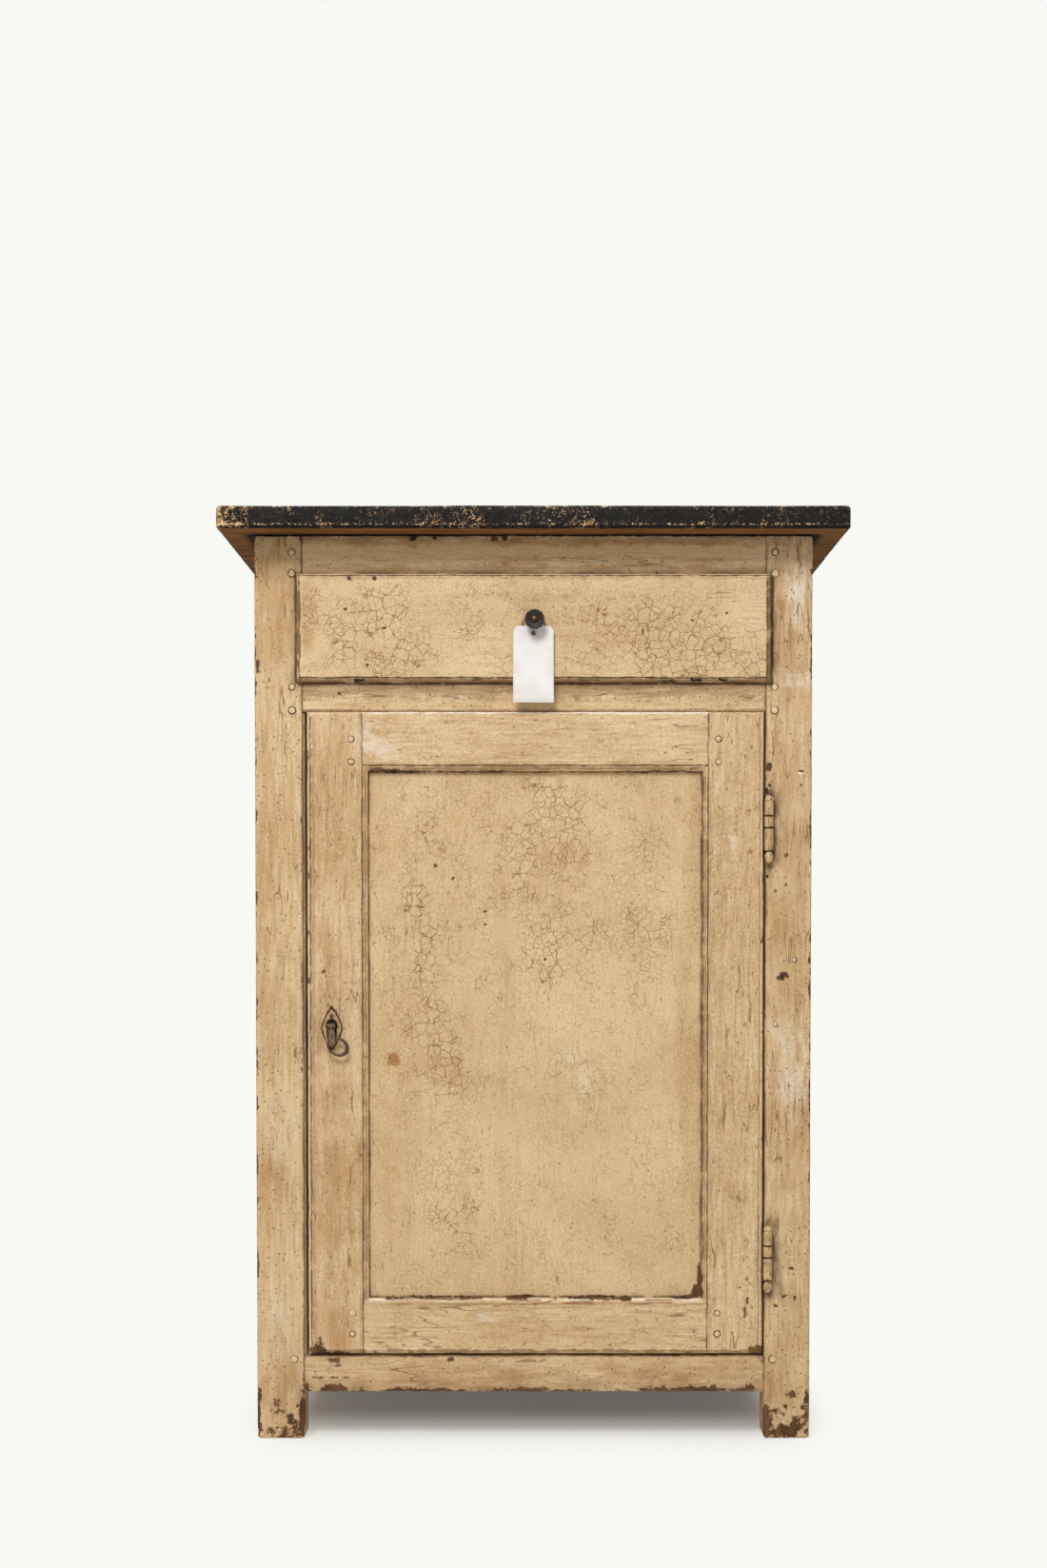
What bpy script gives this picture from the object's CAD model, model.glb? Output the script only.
"""A worn painted cupboard with one drawer and one door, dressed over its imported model.

Boards are worked out in millimetres, in the model's own frame: x to the right, y to the back, z up.
Each board is a lattice over a box, eased at its edges, cut to its mouldings and worn where hands and feet
meet it.
"""

import bpy
import numpy as np
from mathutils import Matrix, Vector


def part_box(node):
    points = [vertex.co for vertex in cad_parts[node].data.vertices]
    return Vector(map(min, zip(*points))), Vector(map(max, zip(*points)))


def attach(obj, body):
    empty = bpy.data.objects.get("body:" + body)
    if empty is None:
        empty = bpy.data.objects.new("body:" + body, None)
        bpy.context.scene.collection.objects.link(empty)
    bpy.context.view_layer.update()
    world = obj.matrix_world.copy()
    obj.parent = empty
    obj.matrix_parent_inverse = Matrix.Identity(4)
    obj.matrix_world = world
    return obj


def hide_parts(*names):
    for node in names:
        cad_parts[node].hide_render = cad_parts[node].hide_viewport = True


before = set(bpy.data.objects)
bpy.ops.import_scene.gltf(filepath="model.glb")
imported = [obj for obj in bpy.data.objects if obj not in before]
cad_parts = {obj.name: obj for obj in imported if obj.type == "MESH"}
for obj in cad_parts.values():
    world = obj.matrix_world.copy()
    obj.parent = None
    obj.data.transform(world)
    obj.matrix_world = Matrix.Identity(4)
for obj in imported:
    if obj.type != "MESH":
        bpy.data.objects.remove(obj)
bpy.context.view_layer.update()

MM = 0.001
FRONT, BACK = -172.0, 212.0
OUTER, POST_INNER, POST_HEAD = 300.0, 250.0, 976.0
SIDE_FRONT, SIDE_BACK = -126.0, 166.0
POST_DEPTHS = ((FRONT, SIDE_FRONT), (SIDE_BACK, BACK))
SIDE_RAIL_X, SIDE_PANEL_X, SIDE_OPENING = (262.0, 292.0), (274.0, 286.0), (80.0, 916.0)
LATCH_EDGE, HINGE_EDGE = -248.6, 250.0
FOOT_ROUND, GROOVE = 4.0, 8.0
RAIL_FOOT, LEDGE_FOOT, LEDGE_HEAD, LEDGE_FRONT = 51.5, 91.3, 788.0, -153.5
DOOR_FRONT, DOOR_BACK, DOOR_EDGE = -176.0, -154.0, 3.5
DOOR = (-243.6, 248.0, 94.0, 787.2)
FIELD = (-184.3, 188.0, 147.9, 729.8)
MOULD_WIDTH, MOULD_DEPTH, MOULD_STEP = 6.0, 5.0, 0.9
PANEL_FRONT, PANEL_BACK = -167.0, -159.0
LIP = (-254.0, 255.0, 818.5, 934.0)
LIP_FRONT, LIP_BACK = -181.3, -172.3
LIP_BEVEL_WIDTH, LIP_BEVEL_DEPTH = 5.0, 4.5
LIP_FOOT_WIDTH, LIP_FOOT_DEPTH = 5.0, 5.6
TOP_LOW, TOP_HIGH = (-335.0, -220.0, 976.0), (335.0, 220.0, 1000.0)
TOP_CORNER, TOP_EDGE, TOP_JOINT = 8.0, 3.0, 12.0
STROKE_Y, STROKE_REACH = -174.3, 7.6
MORTISE_LOW, MORTISE_HIGH, MORTISE_END = (-163.6, 454.4), (-156.4, 467.6), -262.0
KNOB_X, KNOB_Z = 1.3, 883.5
KEY_X, KEY_Z, BOW_Y = -217.5, 449.0, -184.2
HINGE_X, HINGE_Y = 253.5, -177.1
BARREL_RADIUS, KNUCKLE_GAP, PIN_HEAD = 4.9, 0.15, 6.0
STRAP_X, STRAP_Y, POST_SLOT_X, DOOR_SLOT_X = (248.6, 249.8), (-164.0, -162.8), (248.6, 250.3), (247.7, 249.8)
HOLE_X, HOLE_Z, STRING_Y = 0.1, 869.6, -184.2


def place_camera():
    """The photograph's view: low, square to the front, looking a little down, with the frame shifted up."""
    data = bpy.data.cameras.new("camera")
    data.lens, data.sensor_width = 55.3, 36.0
    data.shift_x, data.shift_y = -0.0063, 0.1403
    camera = bpy.data.objects.new("camera", data)
    camera.location = (0.0, -2.772, 0.56375)
    camera.rotation_euler = (np.radians(88.0), 0.0, 0.0)
    bpy.context.collection.objects.link(camera)
    bpy.context.scene.camera = camera


place_camera()
bpy.context.scene.view_settings.view_transform = "Standard"


def scattered(cells, seed):
    """A fixed number from 0 to 1 for each whole-numbered cell: its counts are mixed and cut to 20 bits."""
    mixed = cells[..., 0] * 73856093 ^ cells[..., 1] * 19349663 ^ cells[..., 2] * 83492791 ^ (seed * 2654435)
    mixed = (mixed ^ (mixed >> 13)) * 1274126177
    mixed = (mixed ^ (mixed >> 16)) & 0xFFFFF
    return mixed / float(0xFFFFF)


def drift(points, size, seed):
    """Smooth change from -1 to 1: fixed numbers at the corners of cells, blended with s*s*(3-2s)."""
    cell = points / np.asarray(size, float)
    base = np.floor(cell).astype(np.int64)
    part = cell - base
    part = part * part * (3 - 2 * part)
    total = np.zeros(len(points))
    for corner in np.ndindex(2, 2, 2):
        weight = np.prod(np.where(np.array(corner), part, 1 - part), axis=1)
        total += weight * scattered(base + np.array(corner), seed)
    return 2 * total - 1


def rough(points, size, seed, layers=3):
    """Layers of drift from -1 to 1, each half the size and a little over half the height of the last."""
    total, height, reach = 0, 1.0, 0
    for layer in range(layers):
        total = total + height * drift(points, np.asarray(size, float) / 2**layer, seed + layer)
        reach += height
        height *= 0.55
    return total / reach


def step_up(value, low, high):
    """0 below low, 1 above high, and s*s*(3-2s) between."""
    share = np.clip((value - low) / (high - low), 0, 1)
    return share * share * (3 - 2 * share)


def nearness(points, lines):
    """Strength of the nearest straight line: its own strength times e to the minus distance over reach."""
    best = np.zeros(len(points))
    for start, end, reach, strength in lines:
        start, end = np.array(start, float), np.array(end, float)
        along = end - start
        share = np.clip(((points - start) @ along) / max(along @ along, 1e-9), 0, 1)
        gap = np.linalg.norm(points - start - share[:, None] * along, axis=1)
        best = np.maximum(best, strength * np.exp(-gap / reach))
    return best


def patches(points, places, seed):
    """Strength of the strongest front patch: full inside its ellipse in x and z, with a ragged border."""
    best = np.zeros(len(points))
    ragged = 0.55 * rough(points, (26.0, 60.0, 26.0), seed)
    ragged += 0.3 * rough(points, (7.0, 40.0, 7.0), seed + 7, 2)
    front = 1 - step_up(points[:, 1], FRONT + 8.0, FRONT + 16.0)
    for x, z, half_x, half_z, strength in places:
        out = np.hypot((points[:, 0] - x) / half_x, (points[:, 2] - z) / half_z)
        best = np.maximum(best, strength * step_up(1.25 - out + ragged, 0.0, 0.8))
    return best * front


def box_lines(low, high, reach, strength):
    """The twelve edges of a box, as lines with a reach and a strength."""
    corners = np.array([low, high], float)
    lines = []
    for axis in range(3):
        for first, second in np.ndindex(2, 2):
            start = np.zeros(3)
            start[(axis + 1) % 3] = corners[first, (axis + 1) % 3]
            start[(axis + 2) % 3] = corners[second, (axis + 2) % 3]
            end = start.copy()
            start[axis], end[axis] = corners[:, axis]
            lines.append((start, end, reach, strength))
    return lines


def frame_lines(rect, y, reach, strength):
    """The four sides of an upright rectangle left, right, foot, head at depth y: foot, right, head, left."""
    left, right, foot, head = rect
    ring = [(left, y, foot), (right, y, foot), (right, y, head), (left, y, head)]
    return [(start, end, reach, strength) for start, end in zip(ring, ring[1:] + ring[:1])]


def upright(x, y, z_a, z_b, reach, strength):
    """A line that stands at x and y."""
    return (x, y, z_a), (x, y, z_b), reach, strength


def level(x_a, x_b, y, z, reach, strength):
    """A line that runs from left to right at y and z."""
    return (x_a, y, z), (x_b, y, z), reach, strength


def deep(x, y_a, y_b, z, reach, strength):
    """A line that runs from front to back at x and z."""
    return (x, y_a, z), (x, y_b, z), reach, strength


def worn_lines():
    """Every edge that is knocked or handled."""
    lines = box_lines(TOP_LOW, TOP_HIGH, 4.0, 1.0)
    for side in (-1, 1):
        inner, outer = side * POST_INNER, side * OUTER
        for y_a, y_b in POST_DEPTHS:
            for x, strength in ((inner, 0.55), (outer, 1.0)):
                lines.append(upright(x, y_a, 0.0, POST_HEAD, 2.6, strength))
                lines.append(upright(x, y_b, 0.0, POST_HEAD, 2.6, strength * 0.7))
            lines += box_lines((min(inner, outer), y_a, 0.0), (max(inner, outer), y_b, 8.0), 6.0, 1.1)
        lines.append(deep(side * SIDE_RAIL_X[1], -152.0, 192.0, 40.0, 3.0, 0.9))
    for z, reach, strength in ((RAIL_FOOT, 5.0, 1.25), (LEDGE_FOOT, 1.6, 0.6), (LEDGE_HEAD, 1.6, 0.4)):
        lines.append(level(-252.0, 252.0, FRONT, z, reach, strength))
    foot, right, head, left = frame_lines(DOOR, DOOR_FRONT, 2.6, 0.85)
    lines += [foot, right, left, (*head[:3], 0.4)]
    return lines + frame_lines(FIELD, DOOR_FRONT, 1.4, 0.62) + frame_lines(LIP, LIP_FRONT, 2.2, 0.7)


def dirty_lines():
    """Every joint and hollow where dirt has gathered."""
    lines = [upright(*row) for row in (
        (LATCH_EDGE, FRONT, 0.0, POST_HEAD, 1.5, 0.9),
        (HINGE_EDGE, FRONT, 0.0, POST_HEAD, 1.5, 0.9),
        (LIP[0], FRONT, LIP[2], LIP[3], 3.6, 0.6),
        (LIP[1], FRONT, LIP[2], LIP[3], 7.0, 0.8),
        (257.0, FRONT, 622.0, 700.0, 8.0, 1.05),
        (257.0, FRONT, 158.0, 236.0, 9.0, 1.1),
        (KEY_X, DOOR_FRONT, 430.0, 462.0, 15.0, 0.5),
        (KNOB_X, LIP_FRONT, KNOB_Z, KNOB_Z, 14.0, 0.5),
    )]
    lines += [level(*row) for row in (
        (-OUTER, OUTER, FRONT, POST_HEAD, 1.2, 1.2),
        (-OUTER, OUTER, FRONT, POST_HEAD, 9.0, 0.55),
        (-250.0, 250.0, FRONT, LIP[2], 12.0, 0.55),
        (-248.0, 250.0, FRONT, LEDGE_FOOT, 1.3, 0.8),
        (-250.0, 250.0, FRONT, 52.0, 24.0, 0.42),
        (-255.0, 255.0, -176.0, LIP[2], 2.4, 1.1),
    )]
    for side in (-1, 1):
        lines.append(deep(side * OUTER, -60.0, BACK, POST_HEAD, 9.0, 0.6))
        face = side * SIDE_PANEL_X[1]
        lines += [deep(face, SIDE_FRONT, SIDE_BACK, z, 5.0, 0.8) for z in SIDE_OPENING]
        lines += [upright(face, y, *SIDE_OPENING, 5.0, 0.8) for y in (SIDE_FRONT, SIDE_BACK)]
    foot, right, _, left = frame_lines(DOOR, -172.0, 1.6, 0.75)
    lines += [foot, right, left]
    visible = (FIELD[0] + 6, FIELD[1] - 6, FIELD[2] + 6, FIELD[3] - 6)
    for rect, y, reach, strength in (
        (LIP, FRONT, 2.4, 1.0), (LIP, LIP_BACK, 1.6, 0.9), (FIELD, DOOR_FRONT, 0.9, 0.85),
        (visible, PANEL_FRONT, 1.4, 1.3), (visible, PANEL_FRONT, 12.0, 0.22),
    ):
        lines += frame_lines(rect, y, reach, strength)
    for x in FIELD[:2]:
        lines.append(upright(x, DOOR_FRONT, FIELD[3], DOOR[3], 1.2, 0.8))
        lines.append(upright(x, DOOR_FRONT, DOOR[2], FIELD[2], 1.2, 0.8))
    return lines


WORN, DIRTY = worn_lines(), dirty_lines()
# Patches on the front: x, z, half width, half height and strength of each
CRACKED = [
    (168, 850, 96, 38, 1.15), (110, 880, 70, 22, 0.8), (-200, 880, 62, 50, 0.7), (-150, 858, 60, 40, 0.5),
    (-60, 900, 190, 40, 0.3), (90, 850, 170, 40, 0.3), (16, 655, 62, 84, 0.85), (-128, 590, 15, 48, 0.75),
    (-118, 520, 18, 56, 0.85), (-106, 446, 24, 56, 0.9), (-116, 500, 44, 120, 0.4), (-104, 402, 44, 36, 0.8),
    (116, 580, 34, 110, 0.55), (20, 545, 74, 70, 0.6), (-85, 268, 40, 80, 0.6), (56, 392, 38, 34, 0.45),
    (0, 600, 190, 130, 0.3), (-110, 640, 80, 90, 0.35),
]
STAINED = [
    (0, 967, 300, 6, 0.8), (0, 939, 262, 6, 0.4), (-212, 260, 34, 150, 0.62), (160, 72, 100, 22, 0.7),
    (0, 62, 250, 9, 0.5), (230, 70, 24, 24, 0.6), (40, 636, 38, 24, 0.55), (18, 600, 30, 34, 0.3),
    (-292, 282, 14, 34, 0.9), (-280, 300, 20, 90, 0.5), (285, 640, 14, 60, 0.6), (280, 470, 16, 26, 0.7),
    (266, 880, 12, 70, 1), (274, 850, 16, 60, 0.7), (282, 350, 16, 40, 0.6), (275, 560, 26, 400, 0.4),
    (-235, 650, 9, 150, 0.45), (-215, 120, 26, 40, 0.75), (-215, 730, 20, 70, 0.45),
    (-214, 560, 26, 130, 0.42), (-232, 350, 12, 150, 0.4), (-100, 402, 30, 18, 0.35),
    (-275, 905, 26, 80, 0.55), (-288, 600, 12, 200, 0.35), (272, 60, 24, 50, 0.6), (-275, 60, 24, 50, 0.6),
    (-242, 885, 10, 40, 0.55), (-100, 74, 110, 12, 0.5), (150, 72, 100, 14, 0.5), (60, 120, 120, 20, 0.3),
]
PALE = [
    (-170, 752, 26, 24, 0.8), (284, 915, 12, 32, 1.2), (278, 822, 20, 8, 0.9), (280, 392, 18, 60, 0.75),
    (270, 440, 14, 20, 0.5), (-272, 340, 18, 40, 0.4), (-276, 120, 16, 50, 0.4), (210, 648, 10, 12, 0.8),
    (50, 395, 20, 40, 0.45), (246, 220, 12, 10, 0.7), (-52, 134, 9, 5, 0.9),
]
BARED = [
    (-234, 99, 13, 8, 0.85), (-233, 108, 6, 12, 0.8), (-218, 94, 24, 3, 0.75), (180, 172, 3, 20, 0.95),
    (177, 160, 8, 9, 1), (164, 154.6, 24, 3, 0.85), (100, 154, 8, 4, 0.85), (60, 154, 50, 2.6, 0.7),
    (-14, 154.4, 20, 3, 0.85), (-100, 154, 70, 2.6, 0.65), (-150, 723.6, 40, 2.2, 0.66),
    (-60, 723.6, 60, 2, 0.6), (130, 723.6, 50, 2, 0.62), (-220, 54, 22, 6, 0.9), (-246, 56, 4, 8, 0.85),
    (140, 53.5, 36, 4, 0.8), (190, 54.5, 30, 5, 0.85), (236, 56, 9, 7, 0.9), (40, 53, 80, 3, 0.7),
    (-110, 53, 90, 3.4, 0.7), (240, 97, 10, 6, 0.75), (-90, 94, 16, 3, 0.65), (269.5, 503, 5, 5, 0.8),
    (299, 545, 2.6, 9, 0.8), (299, 520, 3, 7, 0.8), (299, 488, 2.4, 14, 0.75), (299, 425, 2.4, 10, 0.75),
    (299, 372, 2, 24, 0.7), (299, 655, 1.8, 26, 0.66), (299, 842, 2, 22, 0.7), (-299, 848, 2, 12, 0.75),
    (-299, 590, 2.4, 9, 0.8), (-299, 470, 1.8, 22, 0.66), (-299, 300, 2, 16, 0.7),
    (-299, 190, 2.4, 22, 0.72), (-251, 24, 4, 26, 0.95), (-260, 12, 10, 12, 0.7), (-276, 8, 26, 9, 0.68),
    (-298, 30, 4, 34, 0.72), (-280, 34, 16, 16, 0.5), (286, 16, 12, 12, 0.64), (275, 8, 26, 9, 0.7),
    (253, 24, 5, 30, 0.9), (297, 42, 5, 18, 0.72), (280, 47, 8, 7, 0.7), (268, 34, 14, 18, 0.5),
]


def spread(low, high, radius, apart):
    """Places from low to high: thick within the radius of each end, then at most a distance apart."""
    edge = np.append(np.array([0.0, 0.35, 0.7, 1.0]) * radius, radius + np.array([1.2, 2.8, 5.2]))
    edge = edge[edge < (high - low) * 0.45]
    inner = high - low - 2 * edge[-1]
    count = max(1, int(np.ceil(inner / apart)))
    middle = low + edge[-1] + inner * np.arange(1, count) / count
    return np.concatenate([low + edge, middle, high - edge[::-1]])


def with_lines(places, extra):
    """The given places and some more, in order, without near doubles."""
    every = np.sort(np.concatenate([places, np.asarray(extra, float)]))
    keep = np.append(True, np.diff(every) > 0.05)
    return every[keep]


def skin(xs, ys, zs):
    """The outer skin of a lattice: the points where its lines meet on six sides, and the squares between."""
    counts = (len(xs), len(ys), len(zs))
    squares = []
    for axis in range(3):
        first, second = (axis + 1) % 3, (axis + 2) % 3
        for end in (0, counts[axis] - 1):
            grid = np.zeros((counts[first], counts[second], 3), np.int64)
            grid[..., axis] = end
            grid[..., first] = np.arange(counts[first])[:, None]
            grid[..., second] = np.arange(counts[second])[None, :]
            key = (grid[..., 0] * counts[1] + grid[..., 1]) * counts[2] + grid[..., 2]
            square = np.stack([key[:-1, :-1], key[1:, :-1], key[1:, 1:], key[:-1, 1:]], -1).reshape(-1, 4)
            squares.append(square if end else square[:, ::-1])
    used, faces = np.unique(np.concatenate(squares), return_inverse=True)
    x = np.asarray(xs)[used // (counts[1] * counts[2])]
    y = np.asarray(ys)[(used // counts[2]) % counts[1]]
    z = np.asarray(zs)[used % counts[2]]
    return np.stack([x, y, z], 1), faces.reshape(-1, 4)


def eased(points, low, high, radius):
    """Rounds a box: what lies outside the box drawn in by the radius is set at the radius from it."""
    core = np.clip(points, np.asarray(low) + radius, np.asarray(high) - radius)
    over = points - core
    length = np.linalg.norm(over, axis=1, keepdims=True)
    return core + over * np.where(length > 0, radius / np.maximum(length, 1e-9), 0)


def outward(points, faces):
    """Unit directions out of the surface: the crossed diagonals of the faces round each point, added up."""
    first = points[faces[:, 2]] - points[faces[:, 0]]
    second = points[faces[:, 3]] - points[faces[:, 1]]
    crossed = np.cross(first, second)
    total = np.zeros_like(points)
    for corner in range(4):
        np.add.at(total, faces[:, corner], crossed)
    return total / np.maximum(np.linalg.norm(total, axis=1, keepdims=True), 1e-12)


def weathered(points, faces, seed, chip=1.0, wave=0.2):
    """Moves the skin: a slow wave over the faces, and bites out of worn edges where fine drift runs high."""
    near = nearness(points, WORN)
    bite = step_up(rough(points, 13.0, seed + 5), 0.02, 0.5) * 0.75
    bite += step_up(rough(points, 5.0, seed + 9), 0.1, 0.6) * 0.4
    depth = chip * near * near * (0.25 + bite)
    swell = wave * rough(points, (70.0, 70.0, 90.0), seed, 2)
    moved = points + outward(points, faces) * (swell - depth)[:, None]
    return moved, np.clip(near * (0.42 + bite), 0, 1.2)


def made(name, points, faces, marks, material, body, nodes, sharp=None):
    mesh = bpy.data.meshes.new(name)
    mesh.from_pydata((np.asarray(points) * MM).tolist(), [], [list(map(int, face)) for face in faces])
    mesh.polygons.foreach_set("use_smooth", np.ones(len(mesh.polygons), bool))
    if sharp is not None:
        mesh.set_sharp_from_angle(angle=np.radians(sharp))
    for key, values in marks.items():
        layer = mesh.attributes.new(key, "FLOAT", "POINT")
        layer.data.foreach_set("value", np.asarray(values, np.float32))
    mesh.materials.append(material)
    piece = bpy.data.objects.new(name, mesh)
    bpy.context.collection.objects.link(piece)
    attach(piece, body)
    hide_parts(*nodes)


def paint_marks(points, wear, seed):
    """What the paint has been through at each point: wear, dirt, crackle, stains, pale rubs."""
    marks = {"wear": np.maximum(wear, patches(points, BARED, seed + 21)), "grime": nearness(points, DIRTY)}
    for name, places, own_seed in (("crackle", CRACKED, 77), ("stain", STAINED, 51), ("pale", PALE, 91)):
        marks[name] = patches(points, places, own_seed)
    return marks


def merged(points, moved, faces, marks):
    """Welds points whose unworn places are the same and drops faces left without an area."""
    key = np.round(points / 0.004).astype(np.int64)
    _, first, where = np.unique(key, axis=0, return_index=True, return_inverse=True)
    faces = where.reshape(-1)[faces]
    kept = []
    for face in faces.tolist():
        ring = [corner for index, corner in enumerate(face) if corner != face[index - 1]]
        if len(set(ring)) >= 3:
            kept.append(ring)
    return moved[first], kept, {name: values[first] for name, values in marks.items()}


def board(name, low, high, material, body, seed, radius=1.0, apart=(9.0, 9.0, 4.0), form=None,
          extra=((), (), ()), chip=1.0, wave=0.2, weld=False, node=None):
    """One painted board: the eased skin of a lattice over its box, then its own form, then its wear."""
    axes = [with_lines(spread(low[axis], high[axis], radius, apart[axis]), extra[axis]) for axis in range(3)]
    points, faces = skin(*axes)
    points = eased(points, low, high, radius)
    if form:
        points = form(points)
    moved, wear = weathered(points, faces, seed, chip, wave)
    marks = paint_marks(points, wear, seed)
    if weld:
        moved, faces, marks = merged(points, moved, faces, marks)
    made(name, moved, faces, marks, material, body, [node or name.removesuffix("_worn")])


def shade(red, green, blue):
    """A colour given as it looks on a screen, 0 to 255, turned into light by the screen's own curve."""
    parts = [value / 255 for value in (red, green, blue)]
    return (*[part / 12.92 if part <= 0.04045 else ((part + 0.055) / 1.055) ** 2.4 for part in parts], 1.0)


class Nodes:
    """A node tree: each call adds a node and gives back its output, ready to go into the next."""

    def __init__(self, tree):
        self.tree = tree

    def give(self, socket, value):
        """Links an output to an input, or sets the input to a plain value."""
        if isinstance(value, bpy.types.NodeSocket):
            self.tree.links.new(value, socket)
        else:
            socket.default_value = value

    def put(self, kind, values, out=0, **settings):
        """Adds a node, sets it and its inputs, and returns one of its outputs."""
        node = self.tree.nodes.new("ShaderNode" + kind)
        for key, value in settings.items():
            setattr(node, key, value)
        for key, value in values.items():
            self.give(node.inputs[key], value)
        return node.outputs[out]

    def number(self, kind, *values, **settings):
        """One step of arithmetic."""
        return self.put("Math", dict(enumerate(values)), operation=kind, **settings)

    def vector(self, kind, *values, out=0):
        """One step of arithmetic on three numbers at once."""
        return self.put("VectorMath", dict(enumerate(values)), out, operation=kind)


class Finish(Nodes):
    """One material: layers laid over its colour so far, then colour, roughness and relief for the shader."""

    def __init__(self, name):
        self.material = bpy.data.materials.new(name)
        self.material.use_nodes = True
        super().__init__(self.material.node_tree)
        self.shader = self.tree.nodes["Principled BSDF"]
        self.place = self.put("TexCoord", {}, "Object")
        self.colour = None

    def stretched(self, scale, place=None):
        """The place, times a scale for each direction."""
        return self.vector("MULTIPLY", place or self.place, scale)

    def warped(self, scale, amount):
        """The place, pushed about by a noise in all three directions."""
        cloud = self.put("TexNoise", {"Vector": self.place, "Scale": scale, "Detail": 2.0}, "Color")
        pushed = self.vector("MULTIPLY", self.vector("SUBTRACT", cloud, (0.5,) * 3), (amount,) * 3)
        return self.vector("ADD", self.place, pushed)

    def cloud(self, scale, detail=3.0, place=None, rough_share=0.55):
        """A noise from 0 to 1."""
        inputs = {"Vector": place or self.place, "Scale": scale, "Detail": detail, "Roughness": rough_share}
        return self.put("TexNoise", inputs)

    def cells(self, scale, place=None, feature="F1", out="Distance"):
        """A pattern of cells: distance to the nearest centre or edge, or the cell's own random colour."""
        return self.put("TexVoronoi", {"Vector": place or self.place, "Scale": scale}, out, feature=feature)

    def band(self, value, low, high, start=0.0, end=1.0):
        """A smooth step: start below low, end above high."""
        inputs = {"Value": value, "From Min": low, "From Max": high, "To Min": start, "To Max": end}
        return self.put("MapRange", inputs, interpolation_type="SMOOTHSTEP")

    def sum(self, first, second):
        """Both together."""
        return self.number("ADD", first, second)

    def times(self, first, second):
        """One as a share of the other."""
        return self.number("MULTIPLY", first, second)

    def most(self, first, second):
        """The larger of the two."""
        return self.number("MAXIMUM", first, second)

    def relief(self, *parts):
        """The sum of some heights, each times its own share."""
        total = self.times(*parts[0])
        for part in parts[1:]:
            total = self.sum(total, self.times(*part))
        return total

    def mix(self, share, first, second):
        """One colour laid over another by a share."""
        return self.put("Mix", {0: share, 6: first, 7: second}, 2, data_type="RGBA")

    def lay(self, share, tone):
        """Lays a tone over the colour so far by a share."""
        self.colour = self.mix(share, self.colour, shade(*tone))

    def ground(self, share, first, second):
        """Starts the colour with two tones, the second where the share is high."""
        self.colour = self.mix(share, shade(*first), shade(*second))

    def away_from(self, value, middle):
        """How far a value is from another, whichever side."""
        return self.number("ABSOLUTE", self.number("SUBTRACT", value, middle))

    def narrow(self, gap, width):
        """A line where the gap is less than the width, soft at its border; none where there is no width."""
        return self.band(self.number("DIVIDE", gap, self.sum(width, 0.0004)), 1.0, 0.4)

    def draw(self, strokes, place, waver):
        """Lays strokes and spots on the front over the colour, in millimetres, wide where the waver is high.

        Each is x, z, half length in x and z, width, tone and share. The gap to a bar of that half length is
        the length of what is left of the way to its middle, with the half length taken off in each direction.
        """
        for x, z, half_x, half_z, width, tone, share in strokes:
            away = self.vector("SUBTRACT", place, (x * MM, STROKE_Y * MM, z * MM))
            away = self.vector("ABSOLUTE", away)
            away = self.vector("SUBTRACT", away, (half_x * MM, STROKE_REACH * MM, half_z * MM))
            gap = self.vector("LENGTH", self.vector("MAXIMUM", away, (0.0,) * 3), out="Value")
            self.lay(self.times(self.narrow(gap, self.times(waver, width * MM)), share), tone)

    def mark(self, name):
        """A number written on the mesh's points."""
        return self.put("Attribute", {}, "Fac", attribute_name=name)

    def finish(self, roughness, height=None, distance=0.0006, strength=1.0, metallic=0.0, shine=0.5):
        """Wires colour, roughness and relief to the shader."""
        wires = {"Specular IOR Level": shine, "Base Color": self.colour, "Roughness": roughness,
                 "Metallic": metallic}
        if height is not None:
            bump = {"Strength": strength, "Distance": distance, "Height": height}
            wires["Normal"] = self.put("Bump", bump, "Normal")
        for key, value in wires.items():
            self.give(self.shader.inputs[key], value)
        return self.material


# Scales that stretch a pattern along the grain: long, very long and short
ALONG = {"x": (0.10, 1.0, 1.0), "y": (1.0, 0.10, 1.0), "z": (1.0, 1.0, 0.10)}
LONG = {"x": (0.03, 1.0, 1.0), "y": (1.0, 0.03, 1.0), "z": (1.0, 1.0, 0.03)}
SHORT = {"x": (0.3, 1.0, 1.0), "y": (1.0, 0.3, 1.0), "z": (1.0, 1.0, 0.3)}


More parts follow.
